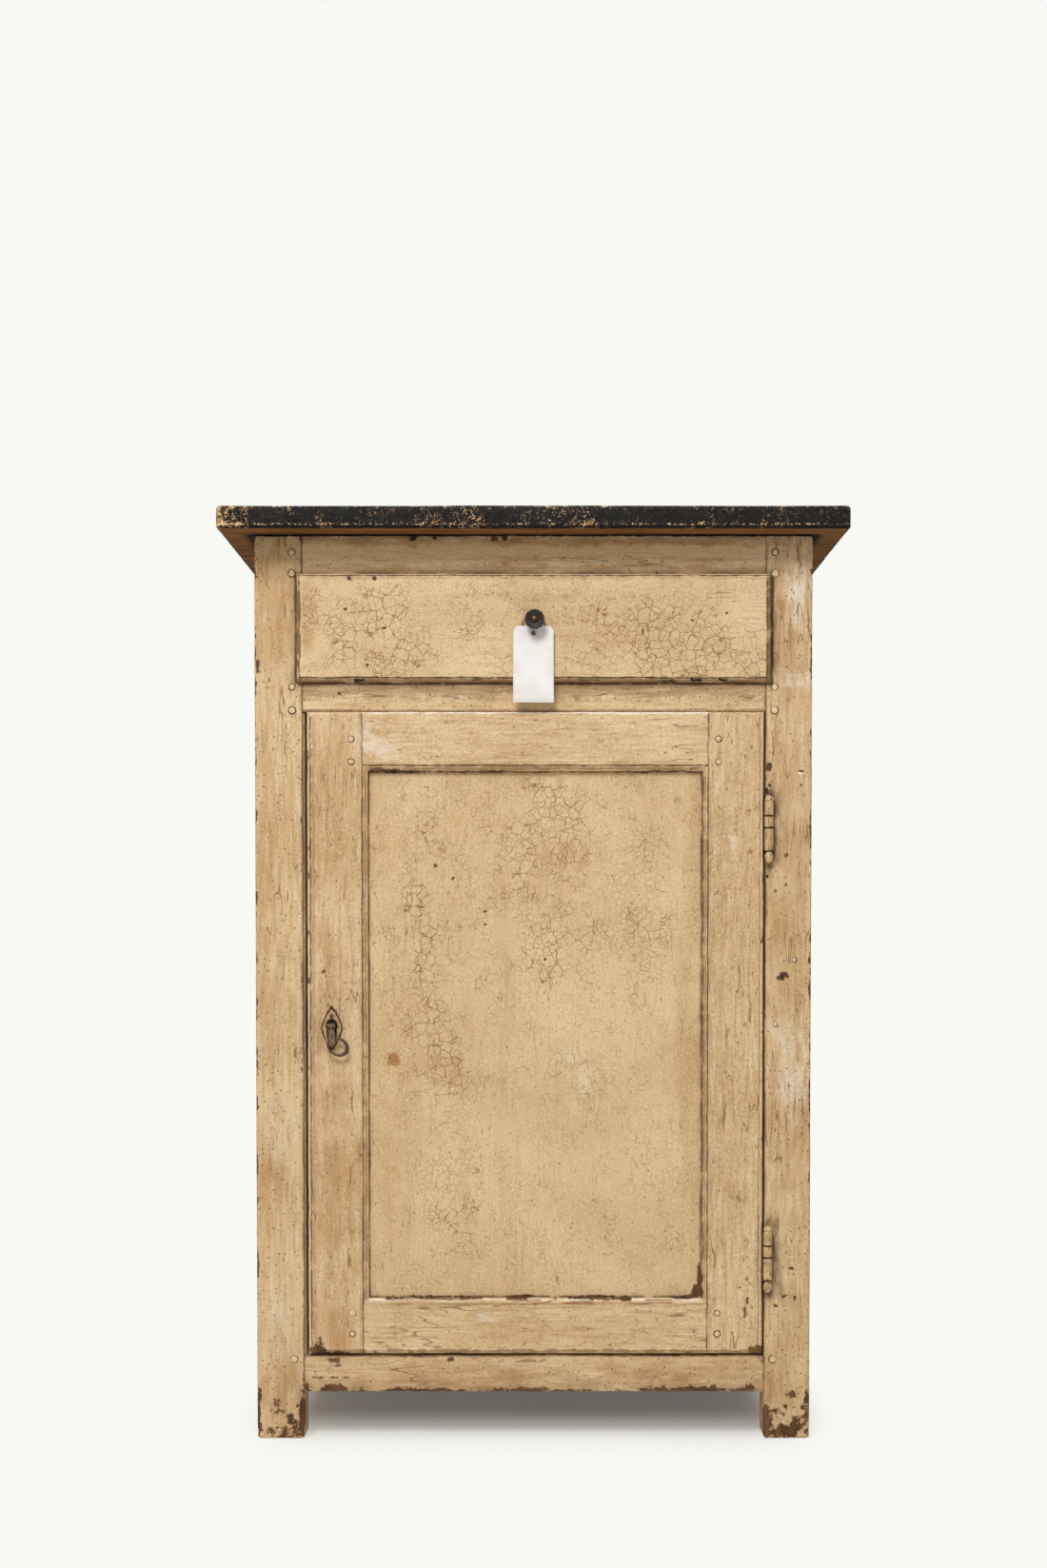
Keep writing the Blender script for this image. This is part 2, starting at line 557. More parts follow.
def cream_paint(name, grain, light=(228, 196, 150), buff=(212, 176, 129), drag=1.0, craze=0.5, strokes=(),
                chips=()):
    """Old cream paint: dragged along the grain, crazed and crackled, dirty in joints, chipped to brown wood.

    A crack is drawn where the distance to the edge of a cell is less than its width. The width follows the
    crackle mark and a noise, so that lines thin out and break off instead of ending at a border.
    """
    f = Finish(name)
    along, short = f.stretched(ALONG[grain]), f.stretched(SHORT[grain])
    streak, mottle = f.cloud(300, 3, along), f.cloud(430, 3)
    f.ground(f.band(f.cloud(7, 4), 0.36, 0.66), buff, light)
    for value, low, high, share, tone in (
        (f.cloud(26, 5, along), 0.5, 0.8, 0.55, (190, 148, 96)),
        (f.cloud(75, 4, along), 0.54, 0.8, 0.45 * drag, (170, 126, 74)),
        (streak, 0.5, 0.74, 0.4 * drag, (160, 118, 68)),
        (streak, 0.5, 0.28, 0.4 * drag, (244, 226, 194)),
        (mottle, 0.5, 0.74, 0.3, (178, 130, 74)),
        (mottle, 0.5, 0.28, 0.34, (250, 234, 204)),
    ):
        f.lay(f.band(value, low, high, 0, share), tone)
    blot = f.band(f.cloud(75, 4, short), 0.3, 0.68, 0.1, 0.9)
    f.lay(f.times(f.mark("stain"), blot), (176, 124, 66))
    pale = f.times(f.mark("pale"), f.band(f.cloud(110, 5, short), 0.38, 0.56))
    f.lay(f.times(pale, 0.75), (242, 230, 206))
    extent = f.band(f.cloud(30, 4), 0.34, 0.66, -0.34, 0.34 * craze + 0.1)
    extent = f.sum(f.times(f.mark("crackle"), 0.9), extent)
    crack = f.cells(88, f.warped(110, 0.006), "DISTANCE_TO_EDGE")
    crack = f.narrow(crack, f.band(extent, 0.24, 0.85, 0, 0.034))
    hair = f.cells(165, f.warped(150, 0.005), "DISTANCE_TO_EDGE")
    hair = f.narrow(hair, f.times(f.band(extent, -0.15, 0.6, 0, 0.046), f.band(f.cloud(55, 3), 0.42, 0.58)))
    curl = f.away_from(f.cloud(190, 1, f.warped(70, 0.010)), 0.5)
    curl = f.narrow(curl, f.times(f.band(f.cloud(52, 3), 0.46, 0.64, 0, 0.02), craze))
    check = f.away_from(f.cloud(70, 2, along), 0.52)
    check = f.narrow(check, f.band(f.cloud(20, 3), 0.48, 0.66, 0, 0.013 * drag))
    dot = f.times(f.band(f.cells(140), 0.18, 0.09), f.band(f.cells(140, out="Color"), 0.66, 0.70))
    knock = f.band(f.cells(40, f.warped(260, 0.003)), 0.055, 0.035)
    knock = f.times(knock, f.band(f.cells(40, out="Color"), 0.8, 0.84))
    speck = f.most(f.times(dot, 0.8), knock)
    for lines, share, tone in (
        (f.most(hair, crack), 0.16, (250, 234, 204)),
        (hair, 0.72, (166, 112, 56)),
        (curl, 0.8, (154, 100, 46)),
        (check, 0.65, (122, 78, 38)),
        (crack, 0.78, (126, 78, 34)),
    ):
        f.lay(f.times(lines, share), tone)
    f.lay(f.band(f.cloud(430, 2, short), 0.66, 0.73, 0, 0.45 + 0.35 * drag), (118, 74, 34))
    f.lay(f.times(speck, 0.85), (92, 54, 24))
    dirt = f.times(f.mark("grime"), f.band(f.cloud(95, 5, short), 0.3, 0.64, 0.3, 1.25))
    f.lay(f.band(dirt, 0.04, 0.95, 0, 0.94), (92, 60, 30))
    f.draw(strokes, f.warped(60, 0.0022), f.band(f.cloud(90, 5), 0.36, 0.6, 0.1, 1.25))
    ragged = f.sum(f.cloud(150, 5, None, 0.7), f.times(f.mark("wear"), 0.55))
    bare = f.band(ragged, 0.83, 0.86)
    f.lay(f.times(f.band(ragged, 0.72, 0.83), 0.6), (120, 78, 40))
    wood = f.mix(f.band(f.cloud(160, 4, along), 0.3, 0.7), shade(128, 88, 52), shade(72, 48, 28))
    f.colour = f.mix(bare, f.colour, wood)
    f.draw(chips, f.warped(170, 0.0045), f.band(f.cloud(240, 3), 0.3, 0.6, 0.6, 1.3))
    lines = f.most(f.most(crack, check), f.times(f.most(hair, curl), 0.6))
    height = f.relief((streak, 0.5 * drag), (lines, -0.45), (speck, -0.6), (bare, -1.2),
                      (f.cloud(34, 2), 0.7), (mottle, 0.7))
    dull = f.sum(f.band(f.cloud(60, 3), 0.3, 0.7, 0.5, 0.64), f.times(bare, 0.25))
    return f.finish(dull, height, 0.0006, 0.85, shine=0.35)


def black_paint():
    """Black paint on the top: flaked in thin tan strokes, worn at its edges and left corner; wood below."""
    f = Finish("black_top")
    along, bent = f.stretched(ALONG["x"]), f.warped(150, 0.008)
    wear, under = f.mark("wear"), f.mark("under")
    flaked = f.sum(f.band(f.cloud(24, 4), 0.48, 0.70), wear)
    strokes = f.times(flaked, f.band(f.cloud(200, 3), 0.50, 0.60, 0, 0.085))
    strokes = f.narrow(f.cells(210, bent, "DISTANCE_TO_EDGE"), strokes)
    curls = f.times(flaked, f.band(f.cloud(150, 3), 0.50, 0.60, 0, 0.04))
    curls = f.narrow(f.away_from(f.cloud(270, 1, bent), 0.5), curls)
    chips = f.band(f.sum(f.cloud(420, 4, None, 0.6), f.times(flaked, 0.08)), 0.70, 0.73)
    torn = f.band(f.sum(f.cloud(260, 5, bent, 0.7), f.times(wear, 0.34)), 0.735, 0.755)
    torn = f.most(f.most(torn, chips), f.most(strokes, curls))
    f.ground(f.band(f.cloud(110, 4), 0.35, 0.7), (9, 8, 8), (23, 21, 19))
    f.lay(f.band(f.cloud(240, 4, along), 0.55, 0.75, 0, 0.15), (74, 68, 62))
    tan = f.mix(f.band(f.cloud(310, 3), 0.36, 0.6), shade(252, 216, 166), shade(190, 146, 98))
    painted = f.mix(f.times(torn, 0.95), f.colour, tan)
    f.ground(f.band(f.cloud(120, 5, along), 0.35, 0.7), (146, 100, 50), (86, 56, 28))
    f.lay(f.band(f.cells(70), 0.12, 0.05), (50, 33, 19))
    f.lay(f.band(f.mark("joint"), 0.14, 0.55), (22, 14, 8))
    f.colour = f.mix(under, painted, f.colour)
    height = f.relief((torn, -0.8), (f.cloud(240, 3, along), 0.5), (f.cloud(60, 3), 0.5))
    dull = f.sum(f.band(f.cloud(70, 3), 0.3, 0.7, 0.55, 0.68), f.times(f.most(torn, under), 0.22))
    return f.finish(dull, height, 0.0006, 0.8, shine=0.16)


def bare_wood(name, grain):
    """Plain wood, grown dull: fine long grain, slow changes of tone, dark pores and a few stains."""
    f = Finish(name)
    along, long = f.stretched(ALONG[grain]), f.stretched(LONG[grain])
    vein = f.cloud(110, 5, long)
    pores = f.band(f.cloud(520, 2, along), 0.58, 0.72)
    f.ground(f.band(f.cloud(24, 4, long), 0.36, 0.64), (198, 163, 118), (160, 124, 82))
    f.lay(f.times(f.mark("tone"), 0.4), (136, 102, 66))
    f.lay(f.band(vein, 0.5, 0.7, 0, 0.5), (118, 84, 50))
    f.lay(f.band(vein, 0.48, 0.3, 0, 0.3), (216, 186, 144))
    f.lay(f.band(f.cloud(6, 4), 0.42, 0.7, 0, 0.5), (120, 90, 60))
    f.lay(f.times(pores, 0.5), (92, 64, 38))
    nick = f.band(f.sum(f.cloud(150, 5, None, 0.7), f.times(f.mark("wear"), 0.3)), 0.74, 0.8)
    f.lay(f.times(nick, 0.6), (92, 64, 40))
    height = f.sum(f.times(pores, -0.6), f.relief((vein, 0.6), (f.cloud(30, 2), 0.6)))
    return f.finish(0.74, height, 0.0005, 0.8, shine=0.3)


def painted_metal(name, light=(216, 184, 138), buff=(186, 148, 100)):
    """Iron under old cream paint: dark where the paint has flaked and in its seams, and black in hollows."""
    f = Finish(name)
    flake, grime = f.cloud(330, 4, f.stretched((1.0, 1.0, 0.6)), 0.7), f.mark("grime")
    bare = f.band(flake, 0.63, 0.66)
    f.ground(f.band(f.cloud(90, 3), 0.35, 0.7), light, buff)
    f.lay(f.band(flake, 0.52, 0.6, 0, 0.6), (124, 84, 46))
    f.lay(bare, (56, 40, 30))
    seam = f.sum(grime, f.times(f.band(f.cloud(260, 3), 0.3, 0.7, -0.3, 0.3), grime))
    f.lay(f.band(seam, 0.1, 0.95), (44, 28, 17))
    f.lay(f.mark("hollow"), (12, 9, 8))
    height = f.relief((bare, -1.0), (f.cloud(420, 3), 0.5))
    return f.finish(f.band(bare, 0, 1, 0.5, 0.62), height, 0.0004, 0.8, shine=0.3)


def dark_finish(name, base=(74, 66, 60), rust=(96, 66, 44), metallic=0.75, dull=0.46):
    """Iron, brass or dark turned wood that is handled: browner in hollows, pale brown where it is rubbed."""
    f = Finish(name)
    pits = f.band(f.cloud(900, 3), 0.55, 0.7)
    rubbed = f.times(f.mark("rubbed"), f.band(f.cloud(420, 3, f.stretched((1.0, 1.0, 0.4))), 0.32, 0.6))
    f.ground(f.band(f.cloud(260, 4), 0.42, 0.66), base, rust)
    f.lay(rubbed, (150, 124, 96))
    f.lay(f.times(pits, 0.6), (38, 32, 28))
    roughness = f.band(f.cloud(300, 3), 0.35, 0.7, dull - 0.1, dull + 0.16)
    return f.finish(roughness, f.times(pits, -1.0), 0.0002, 0.6, metallic)


def white_card():
    """Tag card: nearly white, faint fibres, a little yellower at its edge."""
    f = Finish("white_card")
    fibre = f.cloud(900, 3, f.stretched((1.0, 1.0, 0.4)))
    f.ground(f.band(f.cloud(34, 4), 0.35, 0.7), (246, 243, 239), (233, 228, 221))
    f.lay(f.band(fibre, 0.6, 0.75, 0, 0.25), (214, 206, 196))
    f.lay(f.times(f.mark("edge"), 0.35), (205, 190, 168))
    return f.finish(0.8, f.times(fibre, 0.5), 0.0002, 0.5)


def twine():
    """Brown twine: two plies that show as slanting bands round the string."""
    f = Finish("brown_twine")
    turn = f.number("SINE", f.times(f.mark("twist"), 6.2832))
    f.ground(f.band(turn, -0.8, 0.6), (92, 64, 38), (158, 118, 76))
    f.lay(f.band(f.cloud(1400, 2), 0.5, 0.7, 0, 0.5), (186, 150, 104))
    return f.finish(0.85, turn, 0.0002, 0.8)


INK, DARK, BROWN, TAN = (24, 14, 7), (64, 40, 20), (104, 68, 34), (150, 114, 72)
LIGHT, CHALK = (238, 220, 188), (250, 240, 222)
JOINT_UNDER_TOP = (0.0, 976.4, 300.0, 0.0, 1.5, INK, 1.0)
# Strokes and chips on the front: x, z, half length in x and z, width, tone and share of each
UPRIGHT_STROKES = [
    JOINT_UNDER_TOP, (-255.6, 875, 0, 58, 0.9, DARK, 0.8), (257, 875, 0, 59, 1.6, DARK, 0.85),
    (-243.8, 438, 0, 345, 0.4, DARK, 0.8), (-241.9, 438, 0, 343, 0.45, LIGHT, 0.85),
    (-240.2, 438, 0, 343, 0.8, BROWN, 0.9), (-237.6, 438, 0, 343, 3, TAN, 0.35),
    (0, 96.6, 242, 0, 2, (136, 94, 54), 0.6), (245.4, 438, 0, 345, 0.5, LIGHT, 0.7),
    (243.6, 438, 0, 343, 0.3, BROWN, 0.7), (-181.6, 438.4, 0, 286, 2, TAN, 0.6),
    (-184.3, 438.4, 0, 290, 0.4, DARK, 0.9), (185.2, 438.4, 0, 286, 1.6, TAN, 0.6),
    (188, 438.4, 0, 290, 0.4, DARK, 0.85), (182.9, 438.4, 0, 284, 0.6, DARK, 0.9),
]
LEVEL_STROKES = [
    JOINT_UNDER_TOP, (0, 817.6, 255, 0, 1.2, DARK, 0.95), (0, 958.5, 248, 3, 5.5, (240, 204, 156), 0.55),
    (0, 939.5, 248, 2, 4.5, (150, 108, 62), 0.35), (0, 812, 250, 3, 12, (112, 66, 14), 0.3),
    (0, 786, 244, 0, 1.1, CHALK, 0.9), (0, 789.4, 250, 0, 0.6, (150, 112, 72), 0.8),
    (0, 726.8, 184, 0, 2, TAN, 0.75), (0, 729.8, 187, 0, 0.6, BROWN, 0.95),
    (0, 152.4, 180, 0, 0.9, CHALK, 0.8), (-10, 151.8, 18, 0, 0.7, (140, 84, 50), 0.8),
    (136, 152, 14, 0, 0.7, (140, 84, 50), 0.8), (0, 148.2, 186, 0, 0.4, (160, 110, 66), 0.3),
    (-110, 152.8, 50, 0, 0.5, BROWN, 0.8), (90, 149.2, 60, 0, 0.6, (150, 92, 56), 0.7),
    (0, 97, 242, 0, 2.2, (136, 94, 54), 0.7), (0, 90, 248, 0, 0.5, BROWN, 0.5),
]
DRAWER_STROKES = [
    (0, 933.4, 254, 0, 0.5, LIGHT, 0.8), (0, 932.2, 252, 0, 0.6, BROWN, 1), (0, 929.4, 250, 0, 2, TAN, 0.3),
    (-253.8, 875, 0, 58, 0.8, DARK, 0.9), (-251.2, 875, 0, 57, 2.8, (138, 104, 62), 0.95),
    (-248.2, 875, 0, 55, 0.3, LIGHT, 0.6), (254.6, 875, 0, 58, 0.5, DARK, 0.9),
    (252.8, 875, 0, 57, 2, (132, 98, 58), 0.85), (250.4, 875, 0, 55, 0.9, BROWN, 0.9),
    (0, 820.6, 254, 0, 1.6, TAN, 0.7), (0, 823.2, 251, 0, 0.6, DARK, 0.95),
]
UPRIGHT_CHIPS = [
    (271, 504.5, 2.2, 1.4, 3, DARK, 0.95), (266.5, 501, 2.4, 0.8, 1.8, DARK, 0.9),
    (281.8, 520.5, 0.3, 0.3, 2.8, BROWN, 0.85), (281.4, 521, 0.2, 0.2, 1.7, CHALK, 0.85),
    (261.8, 450.6, 0.8, 0.4, 2.6, BROWN, 0.8), (261.2, 451.4, 0.5, 0.2, 1.6, LIGHT, 0.8),
    (-264, 22, 0.6, 3, 3.4, DARK, 0.95), (-257, 36, 0.4, 0.4, 1.8, DARK, 0.95),
    (-296.5, 836, 0.2, 5, 1.8, DARK, 0.9), (-226, 508, 1.2, 0.4, 1.2, BROWN, 0.9),
    (-242.5, 498, 0.3, 2, 1.6, BROWN, 0.9), (253.5, 728, 0.6, 2.6, 2.6, (72, 40, 18), 0.95),
    (254.5, 708.5, 0.4, 0.6, 1.4, INK, 0.95), (251.5, 702, 0.4, 1.8, 1.6, INK, 0.95),
    (289, 724, 1, 0.1, 1.1, INK, 0.9), (287.5, 721.8, 1, 0.1, 1, CHALK, 0.9),
    (288.5, 708.4, 0.8, 0.1, 1.1, (72, 54, 34), 0.9), (231, 680, 1, 0.8, 2, (158, 106, 54), 0.7),
    (233, 637, 1, 0.8, 2, (158, 106, 54), 0.7), (231, 216, 1, 0.8, 1.8, (158, 106, 54), 0.6),
    (272.6, 633.5, 0.5, 0.5, 1.5, BROWN, 0.9), (252.6, 611, 0.4, 0.4, 1.4, INK, 0.95),
    (272.6, 602, 0.3, 0.6, 1.3, DARK, 0.9), (261, 595, 0.4, 0.8, 1.1, BROWN, 0.8),
    (272, 156, 1.2, 0.4, 1.4, DARK, 0.9), (284, 154, 0.4, 1.2, 1.3, DARK, 0.9),
    (263, 146, 0.6, 0.3, 1.3, DARK, 0.9), (280, 186, 0.8, 0.3, 1.3, DARK, 0.9),
    (232, 152, 0.3, 3, 1.1, DARK, 0.85), (229, 140, 0.3, 5, 0.8, BROWN, 0.85),
]
LEVEL_CHIPS = [
    (-208.5, 807.5, 0.8, 0.3, 1.8, DARK, 0.95), (-129, 973, 1.6, 0.8, 2.2, INK, 0.95),
    (-105.6, 973.4, 0.8, 0.6, 1.9, INK, 0.95), (-42, 972.6, 2, 0.8, 2.2, (96, 54, 20), 0.95),
    (-31, 973.2, 0.8, 0.6, 1.8, INK, 0.95), (132, 935.4, 0.3, 1, 1.2, DARK, 0.95),
    (-90, 87, 2, 0.4, 1.8, DARK, 0.9), (-216, 86, 4, 0.4, 2.6, (84, 62, 40), 0.9),
    (-212, 80, 1.6, 0.4, 1.8, (104, 80, 54), 0.8), (-234, 67, 5, 0.1, 0.9, BROWN, 0.8),
    (-216, 67.4, 3, 0.1, 1.1, BROWN, 0.8), (-204, 67, 1.6, 0.1, 1.1, BROWN, 0.8),
    (-150, 724, 9, 0.2, 1.5, DARK, 0.8), (-168, 725.6, 7, 0.2, 1.1, DARK, 0.7),
    (-128, 723.6, 6, 0.2, 1.4, DARK, 0.7),
]
PANEL_CHIPS = [
    (-151.2, 412.3, 1.6, 2.6, 5.6, (176, 124, 74), 0.95), (-156, 414, 0.2, 0.8, 0.8, (120, 76, 40), 0.9),
    (-87, 609, 0.3, 0.4, 1.5, DARK, 0.9), (-52, 573, 0.4, 0.3, 1.5, DARK, 0.9),
    (-52, 559, 0.3, 0.3, 1.3, DARK, 0.9), (12.5, 521, 0.3, 0.6, 1.5, DARK, 0.9),
    (-106, 622, 0.3, 0.5, 1.5, DARK, 0.85),
]
DRAWER_CHIPS = [
    (-187, 820.8, 4.6, 0.2, 1.3, INK, 1), (174.5, 821, 5, 0.2, 1.3, INK, 1),
    (203.5, 821.4, 3.6, 0.2, 1.2, INK, 1), (146, 820, 7, 0.1, 0.8, DARK, 0.9),
    (60, 820.6, 12, 0.1, 0.5, DARK, 0.7), (-60, 821.2, 5, 0.1, 0.6, DARK, 0.7),
    (-197, 928.6, 0.8, 1.2, 1.5, DARK, 0.95), (-170, 929.5, 1.4, 0.8, 1.3, DARK, 0.95),
    (-202, 896, 0.7, 0.7, 1.3, DARK, 0.95), (-160, 876, 1.4, 0.3, 1.1, DARK, 0.95),
    (-177.5, 837, 0.5, 0.5, 1.2, DARK, 0.95), (117, 872, 0.2, 2.6, 0.9, DARK, 0.9),
    (170, 884, 0.6, 0.3, 1, DARK, 0.9), (207, 892, 0.4, 0.5, 1, DARK, 0.9),
]

CREAM_Z = cream_paint("cream_upright", "z", strokes=UPRIGHT_STROKES, chips=UPRIGHT_CHIPS)
CREAM_X = cream_paint("cream_level", "x", strokes=LEVEL_STROKES, chips=LEVEL_CHIPS)
CREAM_Y = cream_paint("cream_deep", "y")
CREAM_PANEL = cream_paint("cream_panel", "z", (231, 200, 155), (218, 184, 137), 0.25, 0.6, (), PANEL_CHIPS)
CREAM_DRAWER = cream_paint("cream_drawer", "x", (233, 203, 158), (220, 187, 141), 0.25, 0.8, DRAWER_STROKES,
                           DRAWER_CHIPS)
CREAM_PEG = cream_paint("cream_peg", "z", (236, 212, 172), (222, 192, 148), 0.2, 0.2)
GREY_PAINT = cream_paint("grey_strip", "z", (184, 152, 112), (156, 126, 90))
BLACK = black_paint()
WOOD_X = bare_wood("bare_level", "x")
WOOD_Y = bare_wood("bare_deep", "y")
WOOD_Z = bare_wood("bare_upright", "z")
PLATE = painted_metal("painted_plate", (206, 170, 122), (170, 130, 84))
PAINTED_IRON = painted_metal("painted_iron")
IRON = dark_finish("dark_iron")
KNOB_WOOD = dark_finish("dark_knob", (24, 21, 19), (42, 32, 25), 0.0, 0.55)
BRASS = dark_finish("worn_brass", (92, 66, 36), (50, 35, 23), 0.8, 0.42)
CARD, TWINE = white_card(), twine()


def top_shape(points):
    """The top's outline with rounded plan corners, then its long edges rounded over.

    A corner square is pressed to a quarter disc, keeping each point's larger reach as its radius. The same is
    done with the distance inside the outline and the height, to round the upper and lower edges.
    """
    half = np.array([TOP_HIGH[0], TOP_HIGH[1]])
    local = points[:, :2].copy()
    core = np.clip(local, -(half - TOP_CORNER), half - TOP_CORNER)
    over = local - core
    length = np.linalg.norm(over, axis=1)
    local = core + over * (np.abs(over).max(axis=1) / np.maximum(length, 1e-9))[:, None]
    out = np.abs(local) - (half - TOP_CORNER)
    beyond = np.maximum(out, 0)
    reach = np.linalg.norm(beyond, axis=1)
    inside = TOP_CORNER - reach - np.minimum(out.max(axis=1), 0)
    side = np.where(out[:, :1] >= out[:, 1:], [[1.0, 0.0]], [[0.0, 1.0]])
    way = np.where(reach[:, None] > 0, beyond / np.maximum(reach, 1e-9)[:, None], side) * np.sign(local)
    middle, half_high = (TOP_LOW[2] + TOP_HIGH[2]) / 2, (TOP_HIGH[2] - TOP_LOW[2]) / 2
    across = np.maximum(TOP_EDGE - inside, 0)
    rise = np.maximum(np.abs(points[:, 2] - middle) - (half_high - TOP_EDGE), 0)
    scale = np.maximum(across, rise) / np.maximum(np.hypot(across, rise), 1e-9)
    shaped = points.copy()
    shaped[:, :2] = local + way * (across * (scale - 1))[:, None]
    shaped[:, 2] += np.sign(points[:, 2] - middle) * rise * (scale - 1)
    return shaped


def build_top():
    """Two boards glued edge to edge, black above and on the edges, bare wood below."""
    (left, front_edge, foot), (right, back_edge, head) = TOP_LOW, TOP_HIGH
    corner = np.array([0.0, 0.8, 1.7, 2.6, 3.6, 4.8, 6.2, 8.0, 9.5, 11.5])
    xs = with_lines(np.linspace(left, right, 300), np.concatenate([left + corner, right - corner]))
    zs = np.array([foot, 976.5, 977.1, 977.8, 978.5, 979.2, 980.0, 981.0, 982.4, 984.0, 988.0, 992.0, 995.0,
                   997.0, 998.2, 999.2, head])
    front = np.concatenate([front_edge + corner, np.linspace(-204, 8, 30), [10.6, TOP_JOINT]])
    rear = np.concatenate([[TOP_JOINT, 13.4], np.linspace(16, 204, 24), back_edge - corner[::-1]])
    for label, ys, seed in (("front", front, 3), ("back", rear, 4)):
        flat, faces = skin(xs, ys, zs)
        points = top_shape(flat)
        seam = np.exp(-np.abs(flat[:, 1] - TOP_JOINT) / 1.6) * (flat[:, 2] > head - 1)
        moved, wear = weathered(points, faces, seed, 1.1, 0.35)
        moved[:, 2] -= 0.5 * seam
        under = (np.abs(flat[:, 0]) < right - 3) & (np.abs(flat[:, 1]) < back_edge - 3)
        under &= flat[:, 2] < foot + 0.5
        left_corner = np.exp(-np.hypot(points[:, 0] - left, points[:, 1] - front_edge) / 20)
        low_edge = 0.6 * np.exp(-np.abs(points[:, 2] - 980.2) / 1.0)
        low_edge -= 1.6 * (1 - step_up(points[:, 2], 978.0, 979.6))
        low_edge *= points[:, 1] < front_edge + 4
        off_post = np.hypot(np.maximum(np.abs(flat[:, 0]) - OUTER, 0), np.maximum(FRONT - flat[:, 1], 0))
        rubbed = np.maximum(wear * 0.7 + left_corner * 0.75 + low_edge + seam * 0.3, 0)
        marks = {"wear": rubbed, "under": under.astype(float), "joint": np.exp(-off_post / 9)}
        made("top_" + label, moved, faces, marks, BLACK, "carcass",
             ["top_board_" + label])


def mortised(points):
    """Presses the bolt's mortise into the latch post: points of its side within the mouth go deep."""
    (y_a, z_a), (y_b, z_b) = MORTISE_LOW, MORTISE_HIGH
    mouth = (points[:, 0] > LATCH_EDGE - 0.5) & (points[:, 1] > y_a) & (points[:, 1] < y_b)
    mouth &= (points[:, 2] > z_a) & (points[:, 2] < z_b)
    shaped = points.copy()
    shaped[mouth, 0] = MORTISE_END
    return shaped


def footed(low, high, mortise):
    """A post's shape: drawn in by a quarter round at its lower end, and mortised if it is the latch post."""
    middle, half = (np.array(low) + high) / 2, (np.array(high) - low) / 2

    def form(points):
        share = np.clip(1 - points[:, 2:] / FOOT_ROUND, 0, 1)
        inset = FOOT_ROUND * (1 - np.sqrt(1 - share * share))
        shaped = points.copy()
        shaped[:, :2] = middle[:2] + (points[:, :2] - middle[:2]) * (1 - inset / half[:2])
        return mortised(shaped) if mortise else shaped
    return form


def build_posts():
    """Four square posts that run down as feet."""
    mouth = zip(MORTISE_LOW, MORTISE_HIGH)
    rims = [[value + off for value in pair for off in (-0.05, 0.05)] for pair in mouth]
    seed = 11
    for side, label in ((-1, "left"), (1, "right")):
        for (y_a, y_b), place in zip(POST_DEPTHS, ("front", "back")):
            edges = (LATCH_EDGE, HINGE_EDGE) if place == "front" else (-POST_INNER, POST_INNER)
            left, right = sorted((edges[side > 0], side * OUTER))
            low, high = (left, y_a, 0.0), (right, y_b, POST_HEAD)
            latch = place == "front" and side < 0
            board(f"post_{place}_{label}_worn", low, high, CREAM_Z, "carcass", seed, 1.6, (7.0, 9.0, 3.0),
                  footed(low, high, latch), ((), *rims) if latch else ((), (), ()), 1.5, 0.3)
            seed += 3


def ledged(level, back):
    """Cuts a front rail back above or below its body, so that the rest stays as a ledge for the door."""
    def form(points):
        shaped = points.copy()
        beyond = shaped[:, 2] > level if back > 0 else shaped[:, 2] < level
        shaped[:, 1] = np.where(beyond, np.maximum(shaped[:, 1], LEDGE_FRONT), shaped[:, 1])
        return shaped
    return form


def build_rails():
    """Front rails between the posts, side rails and the thin side panels in their grooves."""
    seed = 31
    for label, foot, head, form, lines in (
        ("top", 922.0, POST_HEAD, None, ()),
        ("middle", 778.0, 826.0, ledged(LEDGE_HEAD, -1), (787.9, 788.1, 789.0, 790.5)),
        ("bottom", RAIL_FOOT, 98.0, ledged(LEDGE_FOOT, 1), (88.8, 90.3, 91.2, 91.4)),
    ):
        low, high = (LATCH_EDGE, FRONT, foot), (HINGE_EDGE, -142.0, head)
        board("front_rail_" + label, low, high, CREAM_X, "carcass", seed, 0.8, (3.6, 9.0, 7.0), form,
              ((), (), lines), node="rail_front_" + label)
        seed += 3
    for side, label in ((-1, "left"), (1, "right")):
        for place, foot, head in (("top", SIDE_OPENING[1], POST_HEAD), ("bottom", 40.0, SIDE_OPENING[0])):
            left, right = sorted(side * x for x in SIDE_RAIL_X)
            low, high = (left, SIDE_FRONT, foot), (right, SIDE_BACK, head)
            board(f"side_rail_{place}_{label}_worn", low, high, CREAM_Y, "carcass", seed, 0.9, (9.0, 4.0, 7.0))
            seed += 3
        left, right = sorted(side * x for x in SIDE_PANEL_X)
        low = (left, SIDE_FRONT - GROOVE, SIDE_OPENING[0] - GROOVE)
        high = (right, SIDE_BACK + GROOVE, SIDE_OPENING[1] + GROOVE)
        board(f"side_panel_{label}_worn", low, high, CREAM_Z, "carcass", seed, 0.8, (9.0, 9.0, 9.0), wave=0.5)
        seed += 3


